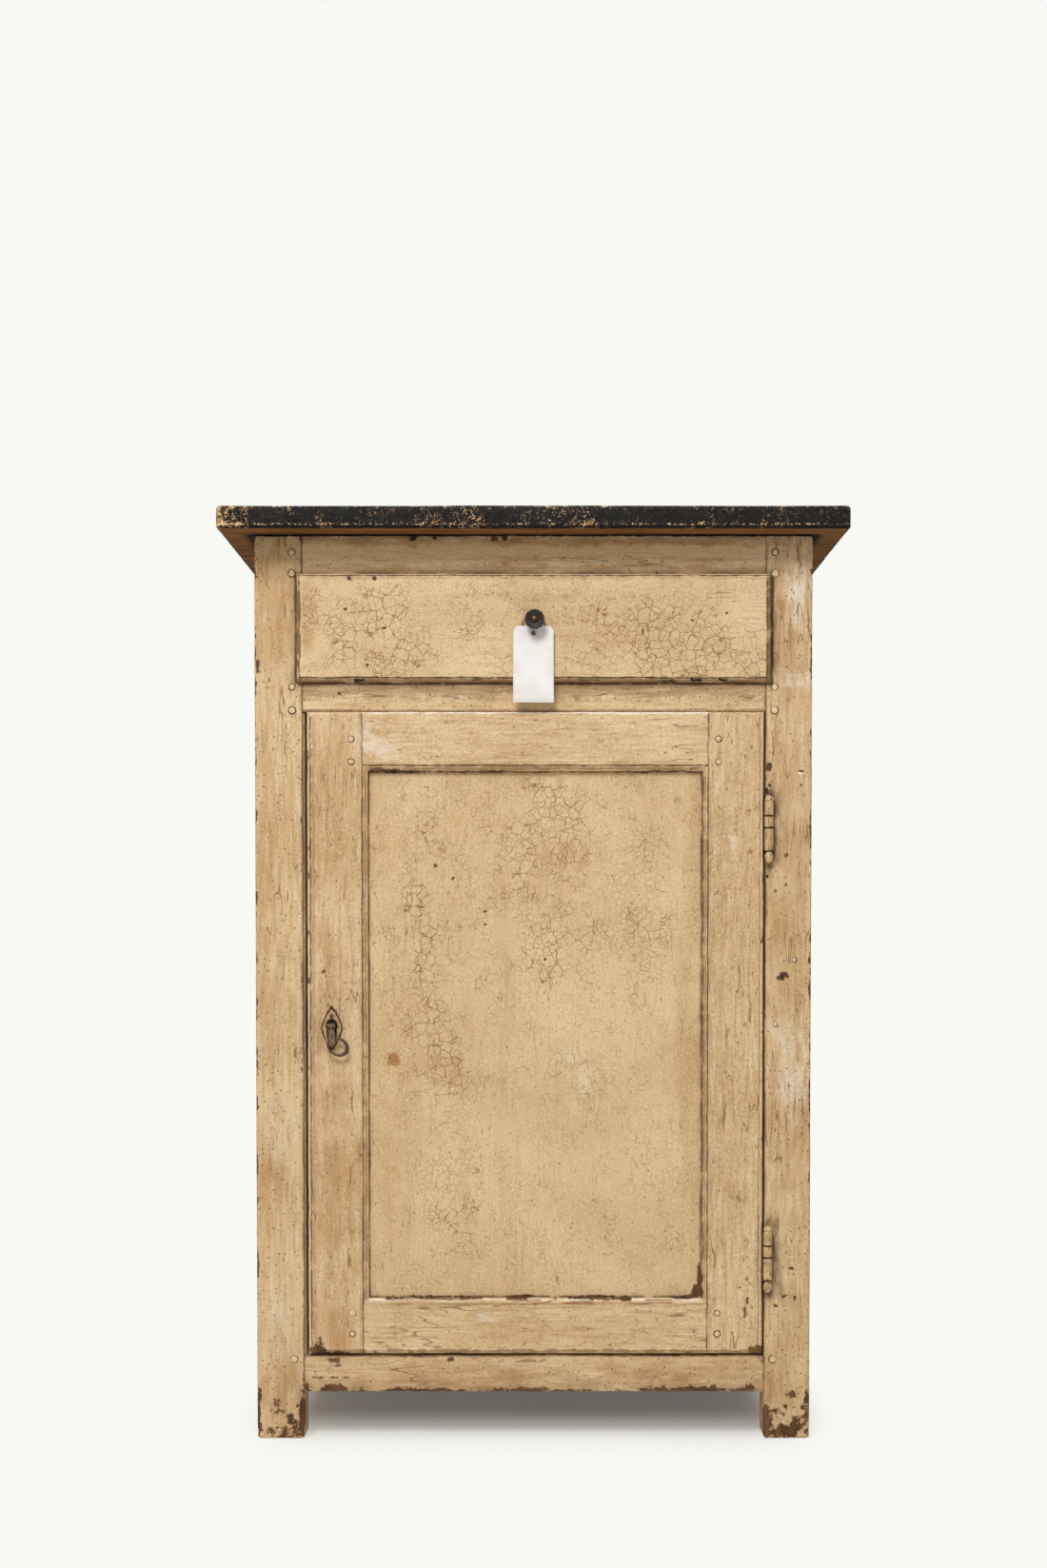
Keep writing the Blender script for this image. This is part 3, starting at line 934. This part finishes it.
def build_back():
    """Three upright back boards of bare wood, each of its own tone and a little cupped."""
    y_a, y_b, foot, head, ease = 200.0, BACK, 38.0, POST_HEAD, 0.8
    seed = 131
    for label, left, right, tone in (
        ("left", -250.0, -83.8, 0.2), ("middle", -82.8, 82.8, 0.9), ("right", 83.8, 250.0, 0.5),
    ):
        low, high = (left, y_a, foot), (right, y_b, head)
        apart = (7.0, 8.0, 9.0)
        points, faces = skin(*[spread(low[axis], high[axis], ease, apart[axis]) for axis in range(3)])
        points = eased(points, low, high, ease)
        hollow = np.cos((points[:, 0] - (left + right) / 2) / (right - left) * np.pi)
        points[:, 1] -= 1.2 * hollow * (points[:, 1] > 206)
        wear = nearness(points, box_lines(low, high, 3.0, 1.0))
        depth = wear * (0.3 + 0.5 * np.maximum(rough(points, 14.0, seed), 0))
        moved = points - outward(points, faces) * depth[:, None]
        marks = {"wear": wear, "tone": np.full(len(points), tone)}
        made(f"back_board_{label}_worn", moved, faces, marks, WOOD_Z, "carcass",
             ["back_board_" + label])
        seed += 3


def inside(points, rect):
    """How far a point lies inside a rectangle left, right, foot, head: the least of its four distances."""
    left, right, foot, head = rect
    gaps = [points[:, 0] - left, right - points[:, 0], points[:, 2] - foot, head - points[:, 2]]
    return np.min(gaps, axis=0)


def frame_face(points):
    """The door frame's front: bevelled at its edge, with a fine step and a quarter round at the panel."""
    inward = np.clip(inside(points, FIELD), 0, MOULD_WIDTH)
    step = MOULD_STEP * np.clip(inward / 0.5, 0, 1)
    share = np.clip((inward - 0.5) / (MOULD_WIDTH - 0.5), 0, 1)
    curve = (MOULD_DEPTH - MOULD_STEP) * (1 - np.sqrt(np.maximum(1 - share * share, 0)))
    bevel = np.clip(DOOR_EDGE - inside(points, DOOR), 0, DOOR_EDGE)
    bevel = DOOR_EDGE * (1 - np.sqrt(np.maximum(1 - (bevel / DOOR_EDGE) ** 2, 0)))
    shaped = points.copy()
    shaped[:, 1] = np.maximum(points[:, 1], DOOR_FRONT + step + curve)
    shaped[:, 1] = np.maximum(shaped[:, 1], DOOR_FRONT + bevel * 0.9)
    return shaped


def mitred(axis, line, way):
    """A frame member's shape: its moulded strip past the joint line is cut off at the mitres."""
    other, (low, high) = 2 - axis, FIELD[2:] if axis == 0 else FIELD[:2]

    def form(points):
        shaped = points.copy()
        room = np.minimum(points[:, other] - low, high - points[:, other])
        past = way * (points[:, axis] - line)
        past = np.where(past > 0, np.minimum(past, np.clip(room, 0, MOULD_WIDTH)), past)
        shaped[:, axis] = line + way * past
        return frame_face(shaped)
    return form


def build_door():
    """Two stiles, two rails and the flat panel."""
    left, right, foot, head = FIELD
    strip = np.array([-1.0, -0.4, 0.0, 0.25, 0.5, 1.4, 2.4, 3.4, 4.3, 5.1, 5.7])
    strip_end = np.append(strip, MOULD_WIDTH)
    ends = np.array([0.0, 0.6, 1.3, 2.1, 2.9, 3.5, 4.2])
    edges_x, edges_z = (np.concatenate([DOOR[i] + ends, DOOR[i + 1] - ends]) for i in (0, 2))
    stile_zs = np.concatenate([edges_z, foot + strip_end, head - strip_end])
    rail_xs = np.concatenate([left + strip, right - strip])
    seed = 61
    for label, axis, line, way, (x_a, z_a), (x_b, z_b) in (
        ("stile_left", 0, left, 1, (DOOR[0], DOOR[2]), (left + MOULD_WIDTH, DOOR[3])),
        ("stile_right", 0, right, -1, (right - MOULD_WIDTH, DOOR[2]), (DOOR[1], DOOR[3])),
        ("rail_top", 2, head, -1, (left, head - MOULD_WIDTH), (right, DOOR[3])),
        ("rail_bottom", 2, foot, 1, (left, DOOR[2]), (right, foot + MOULD_WIDTH)),
    ):
        low, high = (x_a, DOOR_FRONT, z_a), (x_b, DOOR_BACK, z_b)
        joint = line + way * strip
        xs, zs = (np.append(joint, edges_x), stile_zs) if axis == 0 else (rail_xs, np.append(joint, edges_z))
        extra = (xs, np.array([-175.0, -173.6, -172.4, -171.0]), zs)
        extra = [part[(part > low[i]) & (part < high[i])] for i, part in enumerate(extra)]
        finish, apart = (CREAM_Z, (7.0, 9.0, 3.4)) if axis == 0 else (CREAM_X, (3.6, 9.0, 7.0))
        board("door_" + label, low, high, finish, "door", seed, 0.7, apart, mitred(axis, line, way), extra,
              0.8, 0.25, weld=True)
        seed += 3
    border = np.array([5.4, 6.0, 6.8, 7.8, 9.2, 11.5])
    near_frame = (np.append(left + border, right - border), (), np.append(foot + border, head - border))
    low, high = (-185.5, PANEL_FRONT, 145.0), (188.5, PANEL_BACK, 726.5)
    board("door_panel_worn", low, high, CREAM_PANEL, "door", 83, 0.6, (4.0, 8.0, 4.0), None, near_frame,
          wave=0.45)


def build_drawer():
    """The lipped front: a slab with bevelled edges, and the block behind it that fills the opening."""
    left, right, foot, head = LIP
    ends = np.array([0.0, 0.5, 1.0, 1.8, 2.6, 3.4, 4.2, 4.8, 5.2, 6.2, 8.0])
    foot_ends = foot + np.array([0.0, 0.4, 1.0, 1.8, 2.8, 3.8, 4.6, 5.0, 5.4, 6.6, 8.4])
    xs = with_lines(np.linspace(left, right, 150), np.concatenate([left + ends, right - ends]))
    zs = with_lines(np.linspace(foot, head, 26), np.concatenate([foot_ends, head - ends]))
    ys = np.array([LIP_FRONT, -180.4, -179.2, -178.0, -176.8, -175.4, -173.6, LIP_BACK])
    points, faces = skin(xs, ys, zs)
    points = eased(points, (left, LIP_FRONT, foot), (right, LIP_BACK, head), 0.4)
    near = np.clip(LIP_BEVEL_WIDTH - inside(points, LIP), 0, LIP_BEVEL_WIDTH) / LIP_BEVEL_WIDTH
    drop = LIP_BEVEL_DEPTH * (0.55 * near + 0.45 * (1 - np.sqrt(np.maximum(1 - near * near, 0))))
    below = np.clip(foot + LIP_FOOT_WIDTH - points[:, 2], 0, LIP_FOOT_WIDTH) / LIP_FOOT_WIDTH
    drop = np.maximum(drop, LIP_FOOT_DEPTH * below)
    points[:, 1] = np.maximum(points[:, 1], LIP_FRONT + drop)
    moved, wear = weathered(points, faces, 97, 0.8, 0.3)
    marks = paint_marks(points, wear, 97)
    block = ((-247.5, LIP_BACK, 827.5), (247.5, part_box("drawer_front")[1][1] / MM, 920.5))
    block_points, block_faces = small_block(*block, 0.6, 12.0)
    points, faces = together([(moved, faces), (block_points, block_faces)])
    marks = {key: np.append(values, np.zeros(len(block_points))) for key, values in marks.items()}
    made("drawer_front_worn", points, faces, marks, CREAM_DRAWER, "drawer", ["drawer_front"])


def whole_turn(steps):
    """Equal angles round a circle."""
    return 2 * np.pi * np.arange(steps) / steps


def ring_faces(rings, steps, closed=False):
    """Squares between rings of points, each ring with the next and, when closed, the last with the first."""
    here, on = np.arange(steps), (np.arange(steps) + 1) % steps
    ring = np.arange(rings if closed else rings - 1)[:, None]
    near, far = ring * steps, (ring + 1) % rings * steps
    return np.stack([near + here, near + on, far + on, far + here], -1).reshape(-1, 4).tolist()


def turned(profile, steps, centre, axis="z"):
    """A profile of (radius, height) pairs turned about an axis: rings of points, closed by one at each pole.

    A ring's points are radius*cos, radius*sin and the height, for steps equal angles. Height runs up for axis
    z, and forward, out of the front, for axis y. The profile starts at the low or rear pole.
    """
    profile = np.asarray(profile, float)
    angle = whole_turn(steps)
    radius, height = profile[1:-1, :1], profile[1:-1, 1:]
    rings = np.stack([radius * np.cos(angle), radius * np.sin(angle), np.repeat(height, steps, axis=1)], -1)
    points = np.concatenate([rings.reshape(-1, 3), [[0, 0, profile[0, 1]], [0, 0, profile[-1, 1]]]])
    count = len(profile) - 2
    here, on = np.arange(steps), (np.arange(steps) + 1) % steps
    end = (count - 1) * steps
    faces = ring_faces(count, steps)
    faces += np.stack([np.full(steps, count * steps), on, here], -1).tolist()
    faces += np.stack([np.full(steps, count * steps + 1), end + here, end + on], -1).tolist()
    if axis == "y":
        points = points[:, [0, 2, 1]] * np.array([1.0, -1.0, 1.0])
    return points + np.asarray(centre, float), faces


def corners_cut(run, on):
    """Two points for each step from run to on: at a quarter and at three quarters of the way."""
    return np.stack([run * 0.75 + on * 0.25, run * 0.25 + on * 0.75], 1).reshape(-1, run.shape[1])


def smoothed(profile):
    """Cuts each corner of an open run of points twice, keeping its two ends."""
    run = np.asarray(profile, float)
    for _ in range(2):
        run = np.concatenate([run[:1], corners_cut(run[:-1], run[1:]), run[-1:]])
    return run


def together(shells):
    """Several closed shells as one list of points and one of faces."""
    points, faces, start = [], [], 0
    for shell_points, shell_faces in shells:
        points.append(shell_points)
        shell_faces = np.asarray(shell_faces, dtype=object).tolist()
        faces += [[corner + start for corner in face] for face in shell_faces]
        start += len(shell_points)
    return np.concatenate(points), faces


def small_block(low, high, ease=0.3, apart=4.0):
    """A small eased box as one shell."""
    points, faces = skin(*[spread(low[axis], high[axis], ease, apart) for axis in range(3)])
    return eased(points, low, high, ease), faces.tolist()


def ringed(path, radius, steps=12):
    """A round wire along a closed path: a circle of points set square to the path at each of its points."""
    ahead = np.roll(path, -1, axis=0) - np.roll(path, 1, axis=0)
    ahead /= np.linalg.norm(ahead, axis=1, keepdims=True)
    side = np.cross(ahead, [0.0, 1.0, 0.0])
    side /= np.maximum(np.linalg.norm(side, axis=1, keepdims=True), 1e-9)
    other = np.cross(ahead, side)
    angle = whole_turn(steps)[:, None]
    radius = np.broadcast_to(np.asarray(radius, float), len(path))[:, None, None]
    around = side[:, None] * np.cos(angle) + other[:, None] * np.sin(angle)
    return (path[:, None] + radius * around).reshape(-1, 3), ring_faces(len(path), steps, True)


def build_knob():
    """The turned knob with its hollow face, and the domed bolt head in it."""
    profile = [(0, 0), (5.4, 0), (5.4, 1.0), (3.6, 2.0), (3.6, 9.5), (7.15, 11.6), (10.3, 12.9), (10.7, 16.5),
               (10.2, 19.3), (9.3, 20.0), (8.4, 19.3), (4.6, 16.6), (0, 16.4)]
    points, faces = turned(smoothed(profile), 72, (KNOB_X, LIP_FRONT, KNOB_Z), "y")
    made("knob_turned", points, faces, {}, KNOB_WOOD, "drawer", ["drawer_knob"])
    head = [(0, 15.0), (3.4, 15.0), (4.6, 16.0), (4.4, 16.9), (3.2, 18.2), (1.6, 18.8), (0, 19.0)]
    points, faces = together([
        turned(smoothed(head), 48, (KNOB_X, LIP_FRONT, KNOB_Z), "y"),
        turned([(0, 0), (2, 0), (2, 24.5), (0, 24.5)], 24, (KNOB_X, -154.0, KNOB_Z), "y"),
        small_block((KNOB_X - 5, -158.3, KNOB_Z - 5), (KNOB_X + 5, -155.3, KNOB_Z + 5)),
    ])
    made("knob_bolt_domed", points, faces, {}, BRASS, "drawer", ["knob_bolt"], sharp=40)


def build_pegs():
    """Peg ends, domed a little proud of the face, each with a dark ring of dirt round it."""
    share = np.array([0.0, 1.12, 1.14, 1.0, 0.86, 0.6, 0.3, 0.0])
    height = np.array([-2.0, -2.0, 0.12, 0.3, 0.62, 0.86, 0.95, 0.98])
    for label, xs, zs, face, radius, body in (
        ("frame", (-259.6, 259.6), (958.0, 935.5, 814.0, 789.0, 87.0), FRONT, 3.9, "carcass"),
        ("door", (-196.0, 199.0), (758.0, 733.5, 115.5, 138.0), DOOR_FRONT, 3.4, "door"),
    ):
        shells, dirt = [], []
        for index, (x, z) in enumerate((x, z) for x in xs for z in zs):
            size = 1 + 0.08 * np.sin(index * 2.4)
            shell = turned(np.stack([share * radius * size, height], 1), 28, (x, face, z), "y")
            shells.append(shell)
            out = np.hypot(shell[0][:, 0] - x, shell[0][:, 2] - z)
            dirt.append(step_up(out / (radius * size), 0.7, 1.0))
        points, faces = together(shells)
        marks = {"grime": np.concatenate(dirt) * 1.3}
        marks.update({key: np.zeros(len(points)) for key in ("wear", "crackle", "stain", "pale")})
        made(label + "_peg_ends", points, faces, marks, CREAM_PEG, body, [label + "_pegs"])


def lumpy(points, seed, amount=0.16):
    """Paint laid thick and uneven: points moved by drift in each direction."""
    moves = [rough(points, (5.0, 5.0, 6.0), seed + axis, 2) for axis in range(3)]
    return points + amount * np.stack(moves, 1)


def barrel(low, high):
    """A hinge knuckle as one turning with eased ends."""
    length, radius = high - low, BARREL_RADIUS
    end = [(0, 0), (radius - 1.3, 0), (radius - 0.5, 0.4), (radius, 1.1)]
    middle = [(radius, level) for level in np.linspace(1.8, length - 1.8, max(3, int(length / 1.6)))]
    return turned(end + middle + [(x, length - z) for x, z in end[::-1]], 32, (HINGE_X, HINGE_Y, low))


def strap(z_a, z_b, slot):
    """The flat of a hinge leaf: back from the barrel through the gap, then the turn towards its slot."""
    flat = small_block((STRAP_X[0], HINGE_Y, z_a), (STRAP_X[1], STRAP_Y[1], z_b), 0.2)
    return [flat, small_block((slot[0], STRAP_Y[0], z_a), (slot[1], STRAP_Y[1], z_b), 0.2)]


def build_hinges():
    """Pin hinges: a barrel of three knuckles, a domed cap, a turned acorn, and the straps in the gap."""
    cap = ((0, -0.1), (4.3, -0.1), (4.9, 0.5), (4.8, 2.4), (3.9, 4.2), (2.2, 5.6), (0, 6))
    acorn = ((0, 0), (1.6, 0.5), (3.4, 2.4), (4.6, 5.4), (4.85, 8.0), (4.7, 9.6), (3.6, 10.8), (3.1, 12.2),
             (3.6, 13.2), (3.6, 13.5), (0, 13.5))
    centre = (HINGE_X, HINGE_Y, 0)
    for name, head in (("upper", 697.5), ("lower", 233.5)):
        high = head - PIN_HEAD
        first, second = high - 16.0, high - 29.0
        low = second - 25.0
        foot = low - 13.5
        upper, lower = (first + KNUCKLE_GAP, high), (low, second - KNUCKLE_GAP)
        middle = (second + KNUCKLE_GAP, first - KNUCKLE_GAP)
        ends = [turned(smoothed([(x, start + z) for x, z in shape]), 32, centre)
                for shape, start in ((cap, high), (acorn, foot))]
        posts = [barrel(*upper), barrel(*lower), *strap(*upper, POST_SLOT_X), *strap(*lower, POST_SLOT_X)]
        doors = [barrel(*middle), *strap(*middle, DOOR_SLOT_X)]
        for shells, label, seed, body, node in (
            (ends, "_hinge_cap_and_acorn", 5, "carcass", "_hinge_pin"),
            (posts, "_hinge_post_knuckles", 15, "carcass", "_hinge_frame_leaf"),
            (doors, "_hinge_door_knuckle", 25, "door", "_hinge_door_leaf"),
        ):
            points, faces = together(shells)
            gap = np.abs(points[:, 2][:, None] - np.array([first, second, low])).min(axis=1)
            behind = step_up(points[:, 1], HINGE_Y - 2.6, HINGE_Y + 1.0)
            marks = {"grime": np.maximum(1.4 * np.exp(-gap / 0.9), 1.1 * behind)}
            made(name + label, lumpy(points, seed), faces, marks, PAINTED_IRON, body,
                 [name + node])


def build_key_bow():
    """The folding bow: an eye on the rivet, a flat neck, and a wire oval askew, thicker at one side."""
    turn, steps = np.radians(28.0), 20
    angle = whole_turn(56)
    long_way, short_way = 11.0 * np.cos(angle), 8.6 * np.sin(angle)
    x = KEY_X + 6.8 + long_way * np.cos(turn) + short_way * np.sin(turn)
    z = KEY_Z - 21.6 - long_way * np.sin(turn) + short_way * np.cos(turn)
    thick = 1.4 + 0.6 * np.clip(np.cos(angle - 0.2), -0.4, 1)
    oval = ringed(np.stack([x, np.full(56, BOW_Y), z], 1), thick, 14)
    levels = np.array([0.0, 0.02, 0.06, 0.2, 0.5, 0.8, 0.94, 0.98, 1.0])
    half = np.array([1.6, 2.4, 3.1, 3.6, 3.7, 3.6, 3.2, 2.4, 1.4])
    neck_top, neck_foot = KEY_Z - 3.0, KEY_Z - 17.6
    heights = neck_top + (neck_foot - neck_top) * levels
    cosine, sine = np.cos(whole_turn(steps)), np.sin(whole_turn(steps))
    across, depth = (np.abs(value) ** 0.6 * np.sign(value) for value in (cosine, sine))
    neck = np.stack([
        (KEY_X + 1.0 * levels)[:, None] + half[:, None] * across,
        np.broadcast_to(BOW_Y + 1.5 * depth, (len(levels), steps)),
        np.repeat(heights[:, None], steps, axis=1),
    ], -1).reshape(-1, 3)
    sides = [[a, d, c, b] for a, b, c, d in ring_faces(len(levels), steps)]
    caps = [list(range(steps)), list(range(len(neck) - 1, len(neck) - 1 - steps, -1))]
    eye = turned([(0, -1.5), (2.4, -1.5), (3.2, -0.9), (3.2, 0.9), (2.4, 1.5), (0, 1.5)], 28, (0, 0, 0))
    eye = (eye[0][:, [2, 1, 0]] * np.array([1, 1, -1]) + np.array([KEY_X, BOW_Y, KEY_Z]), eye[1])
    rubbed = np.append(np.full(len(oval[0]), 0.1), np.full(len(neck) + len(eye[0]), 0.8))
    points, faces = together([oval, (neck, sides + caps), eye])
    made("key_bow_forged", points, faces, {"rubbed": rubbed}, IRON, "key_bow", ["key_bow"],
         sharp=60)


def upright_ring(spots, y):
    """Places in x and z as points at depth y."""
    return np.stack([spots[:, 0], np.full(len(spots), y), spots[:, 1]], 1)


def build_escutcheon():
    """The keyhole plate: rays run from the keyhole's edge to that of a blunted lozenge, domed between them.

    Inside the keyhole the rays drop to a dark floor and meet at its middle, and a flat back closes the plate.
    """
    count = 96
    angle = whole_turn(count)
    way = np.stack([np.cos(angle), np.sin(angle)], 1)
    half_wide, half_high, blunt = 12.0, 24.5, 1.22
    spread_out = (np.abs(way[:, 0]) / half_wide) ** blunt + (np.abs(way[:, 1]) / half_high) ** blunt
    outer = np.array([KEY_X, KEY_Z - 2.0]) + way * (spread_out ** (-1 / blunt))[:, None]
    slot = np.minimum(5.2 / np.maximum(np.abs(way[:, 0]), 1e-6), 13.0 / np.maximum(-way[:, 1], 1e-6))
    hole = np.maximum(6.2 + 2.0 * np.maximum(way[:, 1], 0) ** 2, np.where(way[:, 1] < 0, slot, 0))
    middle = np.array([KEY_X, KEY_Z])
    inner = middle + way * hole[:, None]
    rows = [(outer, 0.0, 0.0), (outer, 0.5, 0.0)]
    for share, rise in ((0.04, 0.9), (0.12, 1.1), (0.4, 1.3), (0.75, 1.25), (0.93, 1.15), (1.0, 0.9)):
        rows.append((outer * (1 - share) + inner * share, rise, 0.0))
    rows.append((inner, 0.25, 1.0))
    rows += [(inner * (1 - share) + middle * share, 0.15, 1.0) for share in (0.03, 0.5)]
    rings = [upright_ring(spot, DOOR_FRONT - rise) for spot, rise, _ in rows]
    points = np.concatenate(rings + [[[KEY_X, DOOR_FRONT - 0.15, KEY_Z], [KEY_X, DOOR_FRONT, KEY_Z]]])
    rim = [1.4, 1.4, 1.4, 1.1] + [0.1] * (len(rows) - 4)
    hollow = np.append(np.repeat([row[2] for row in rows], count), [1.0, 0.0])
    marks = {"hollow": hollow, "grime": np.append(np.repeat(rim, count), [0.0, 0.0])}
    here, on = np.arange(count), (np.arange(count) + 1) % count
    last, total = (len(rows) - 1) * count, len(rows) * count
    faces = ring_faces(len(rows), count)
    faces += np.stack([last + here, last + on, np.full(count, total)], -1).tolist()
    faces += np.stack([on, here, np.full(count, total + 1)], -1).tolist()
    made("escutcheon_plate", points, faces, marks, PLATE, "door", ["escutcheon"], sharp=50)


def build_tag():
    """The blank card: rays run from its hole to its clipped outline, front and back; it curls a little."""
    left, right, foot, head = -21.7, 21.9, 796.1, 877.9
    corners = np.array([(right, foot), (right, head - 5.0), (right - 3.5, head), (left + 3.5, head),
                        (left, head - 5.0), (left, foot)])
    runs = []
    for start, end in zip(corners, np.roll(corners, -1, axis=0)):
        count = max(3, int(np.ceil(np.linalg.norm(end - start) / 2.4)))
        runs.append(start + (end - start) * (np.arange(count) / count)[:, None])
    outline = np.concatenate(runs)
    hole = np.array([HOLE_X, HOLE_Z])
    way = outline - hole
    way /= np.linalg.norm(way, axis=1, keepdims=True)
    rim = hole + 2.0 * way
    shares = np.array([0.0, 0.03, 0.08, 0.16, 0.28, 0.42, 0.56, 0.7, 0.82, 0.92, 0.975, 1.0])
    count = len(outline)
    rows, edges = [], []
    for side, depth in ((1, -186.0), (-1, -185.3)):
        for share in shares[::side]:
            spot = rim * (1 - share) + outline * share
            inset = 0.12 * (share in (0.0, 1.0)) * side
            rows.append(upright_ring(spot, depth + inset))
            edges.append(float(share > 0.97))
    points = np.concatenate(rows)
    down = (head - points[:, 2]) / (head - foot)
    points[:, 1] -= 0.55 * down**2 + 0.28 * np.sin(points[:, 0] / 9.0 + down * 2.0) * down
    faces, marks = ring_faces(len(rows), count, True), {"edge": np.repeat(edges, count)}
    made("tag_card", points, faces, marks, CARD, "tag", ["paper_tag"], sharp=50)


def build_string():
    """The twine: a loop round the knob's neck behind the card, and the round knot in front of the card."""
    shares = [(0.0, 0.0), (-0.66, 0.16), (-1.0, 0.52), (-0.78, 0.86), (-0.25, 1.0), (0.42, 1.0), (0.85, 0.82),
              (1.0, 0.5), (0.62, 0.14)]
    rise = KNOB_Z + 3.6 + 0.3 + 0.55 - HOLE_Z
    run = np.array([(HOLE_X + x * 13.2, STRING_Y, HOLE_Z + z * rise) for x, z in shares])
    for _ in range(3):
        run = corners_cut(run, np.roll(run, -1, axis=0))
    twist = np.repeat(np.arange(len(run)) / 2.0, 10) + np.tile(np.arange(10) / 10, len(run))
    shape = [(0, 0), (1.4, 0), (1.5, 2.0), (2.0, 2.3), (2.6, 3.4), (2.3, 4.6), (1.3, 5.3), (0, 5.6)]
    knot, knot_faces = turned(smoothed(shape), 28, (HOLE_X, STRING_Y, HOLE_Z), "y")
    around = np.arctan2(knot[:, 2] - HOLE_Z, knot[:, 0] - HOLE_X) / (2 * np.pi)
    winding = around * 3 + knot[:, 1] / 2.2
    squares = np.array([face if len(face) == 4 else face + face[-1:] for face in knot_faces])
    knot = knot + 0.16 * outward(knot, squares) * np.sin(2 * np.pi * winding)[:, None]
    marks = {"twist": np.append(twist, around * 3 + knot[:, 1] / 2.2)}
    points, faces = together([ringed(run, 0.55, 10), (knot, knot_faces)])
    made("tag_twine", points, faces, marks, TWINE, "tag", ["tag_string"])


def assign_kept():
    """Gives every CAD node that stays in sight its finish."""
    for material, names in (
        (IRON, "back_nails escutcheon_pin key_shank lock_bolt lock_cap lock_case"),
        (PAINTED_IRON, "hinge_nails_door hinge_nails_frame"),
        (GREY_PAINT, "door_stop_strip"),
        (WOOD_X, "back_rail_bottom back_rail_top drawer_back drawer_bottom floor_board shelf_board"),
        (WOOD_Y, "drawer_kickers drawer_runner_left drawer_runner_right drawer_side_left drawer_side_right"),
        (WOOD_Y, "shelf_cleats"),
        (WOOD_Z, "top_dowels"),
    ):
        for name in names.split():
            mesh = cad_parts[name].data
            mesh.materials.clear()
            mesh.materials.append(material)


def build_sky(page):
    """Even dim light from all round, that the camera and mirrors see as the bright page."""
    world = bpy.data.worlds.new("room")
    bpy.context.scene.world = world
    world.use_nodes = True
    sky = Nodes(world.node_tree)
    dim = sky.tree.nodes["Background"]
    dim.inputs["Color"].default_value = (1.0, 1.0, 1.0, 1.0)
    dim.inputs["Strength"].default_value = 0.22
    camera, glossy, through = (
        sky.put("LightPath", {}, f"Is {kind} Ray") for kind in ("Camera", "Glossy", "Transmission")
    )
    seen = sky.number("ADD", sky.number("ADD", camera, glossy), through, use_clamp=True)
    bright = sky.put("Background", {"Color": page, "Strength": 1.0})
    mixed = sky.put("MixShader", {0: seen, 1: dim.outputs[0], 2: bright})
    sky.give(sky.tree.nodes["World Output"].inputs["Surface"], mixed)


def build_floor(page):
    """A pale floor that fades into the page away from the feet."""
    f = Finish("floor_paint")
    f.colour = shade(248, 246, 241)
    f.finish(0.9)
    beyond = f.vector("ABSOLUTE", f.vector("SUBTRACT", f.place, (0.0, 0.3, 0.0)))
    beyond = f.vector("MAXIMUM", f.vector("SUBTRACT", beyond, (0.245, 0.3, 0.0)), (0.0, 0.0, 0.0))
    away = f.vector("LENGTH", f.stretched((3.0, 1.0, 1.0), beyond), out="Value")
    cover = f.times(f.band(away, 0.0, 0.31, 0.105, 1.0), f.put("LightPath", {}, "Is Camera Ray"))
    glow = f.put("Emission", {"Color": page})
    mixed = f.put("MixShader", {0: cover, 1: f.shader.outputs[0], 2: glow})
    f.give(f.tree.nodes["Material Output"].inputs["Surface"], mixed)
    mesh = bpy.data.meshes.new("floor")
    mesh.from_pydata([(-9, -9, 0), (9, -9, 0), (9, 9, 0), (-9, 9, 0)], [], [(0, 1, 2, 3)])
    mesh.materials.append(f.material)
    floor = bpy.data.objects.new("floor", mesh)
    bpy.context.collection.objects.link(floor)


def build_lights():
    """A soft light to the front and left, and a larger one overhead."""
    for name, size, place, aim, power in (
        ("key_light", 1.0, (-0.6, -2.35, 2.7), (0.0, 0.0, 0.6), 60.0),
        ("overhead_light", 2.5, (0.0, -0.3, 3.3), (0.0, -0.3, 0.0), 34.0),
    ):
        data = bpy.data.lights.new(name, "AREA")
        data.size, data.energy, data.color = size, power, (1.0, 1.0, 1.0)
        lamp = bpy.data.objects.new(name, data)
        lamp.location = place
        way = np.array(aim) - np.array(place)
        lamp.rotation_euler = (np.arctan2(np.hypot(way[0], way[1]), -way[2]), 0, np.arctan2(-way[0], way[1]))
        bpy.context.collection.objects.link(lamp)


for build in (
    build_top, build_posts, build_rails, build_back, build_door, build_drawer, build_knob, build_pegs,
    build_hinges, build_key_bow, build_escutcheon, build_tag, build_string, assign_kept,
):
    build()
PAGE = shade(248, 249, 244)
build_sky(PAGE)
build_floor(PAGE)
build_lights()
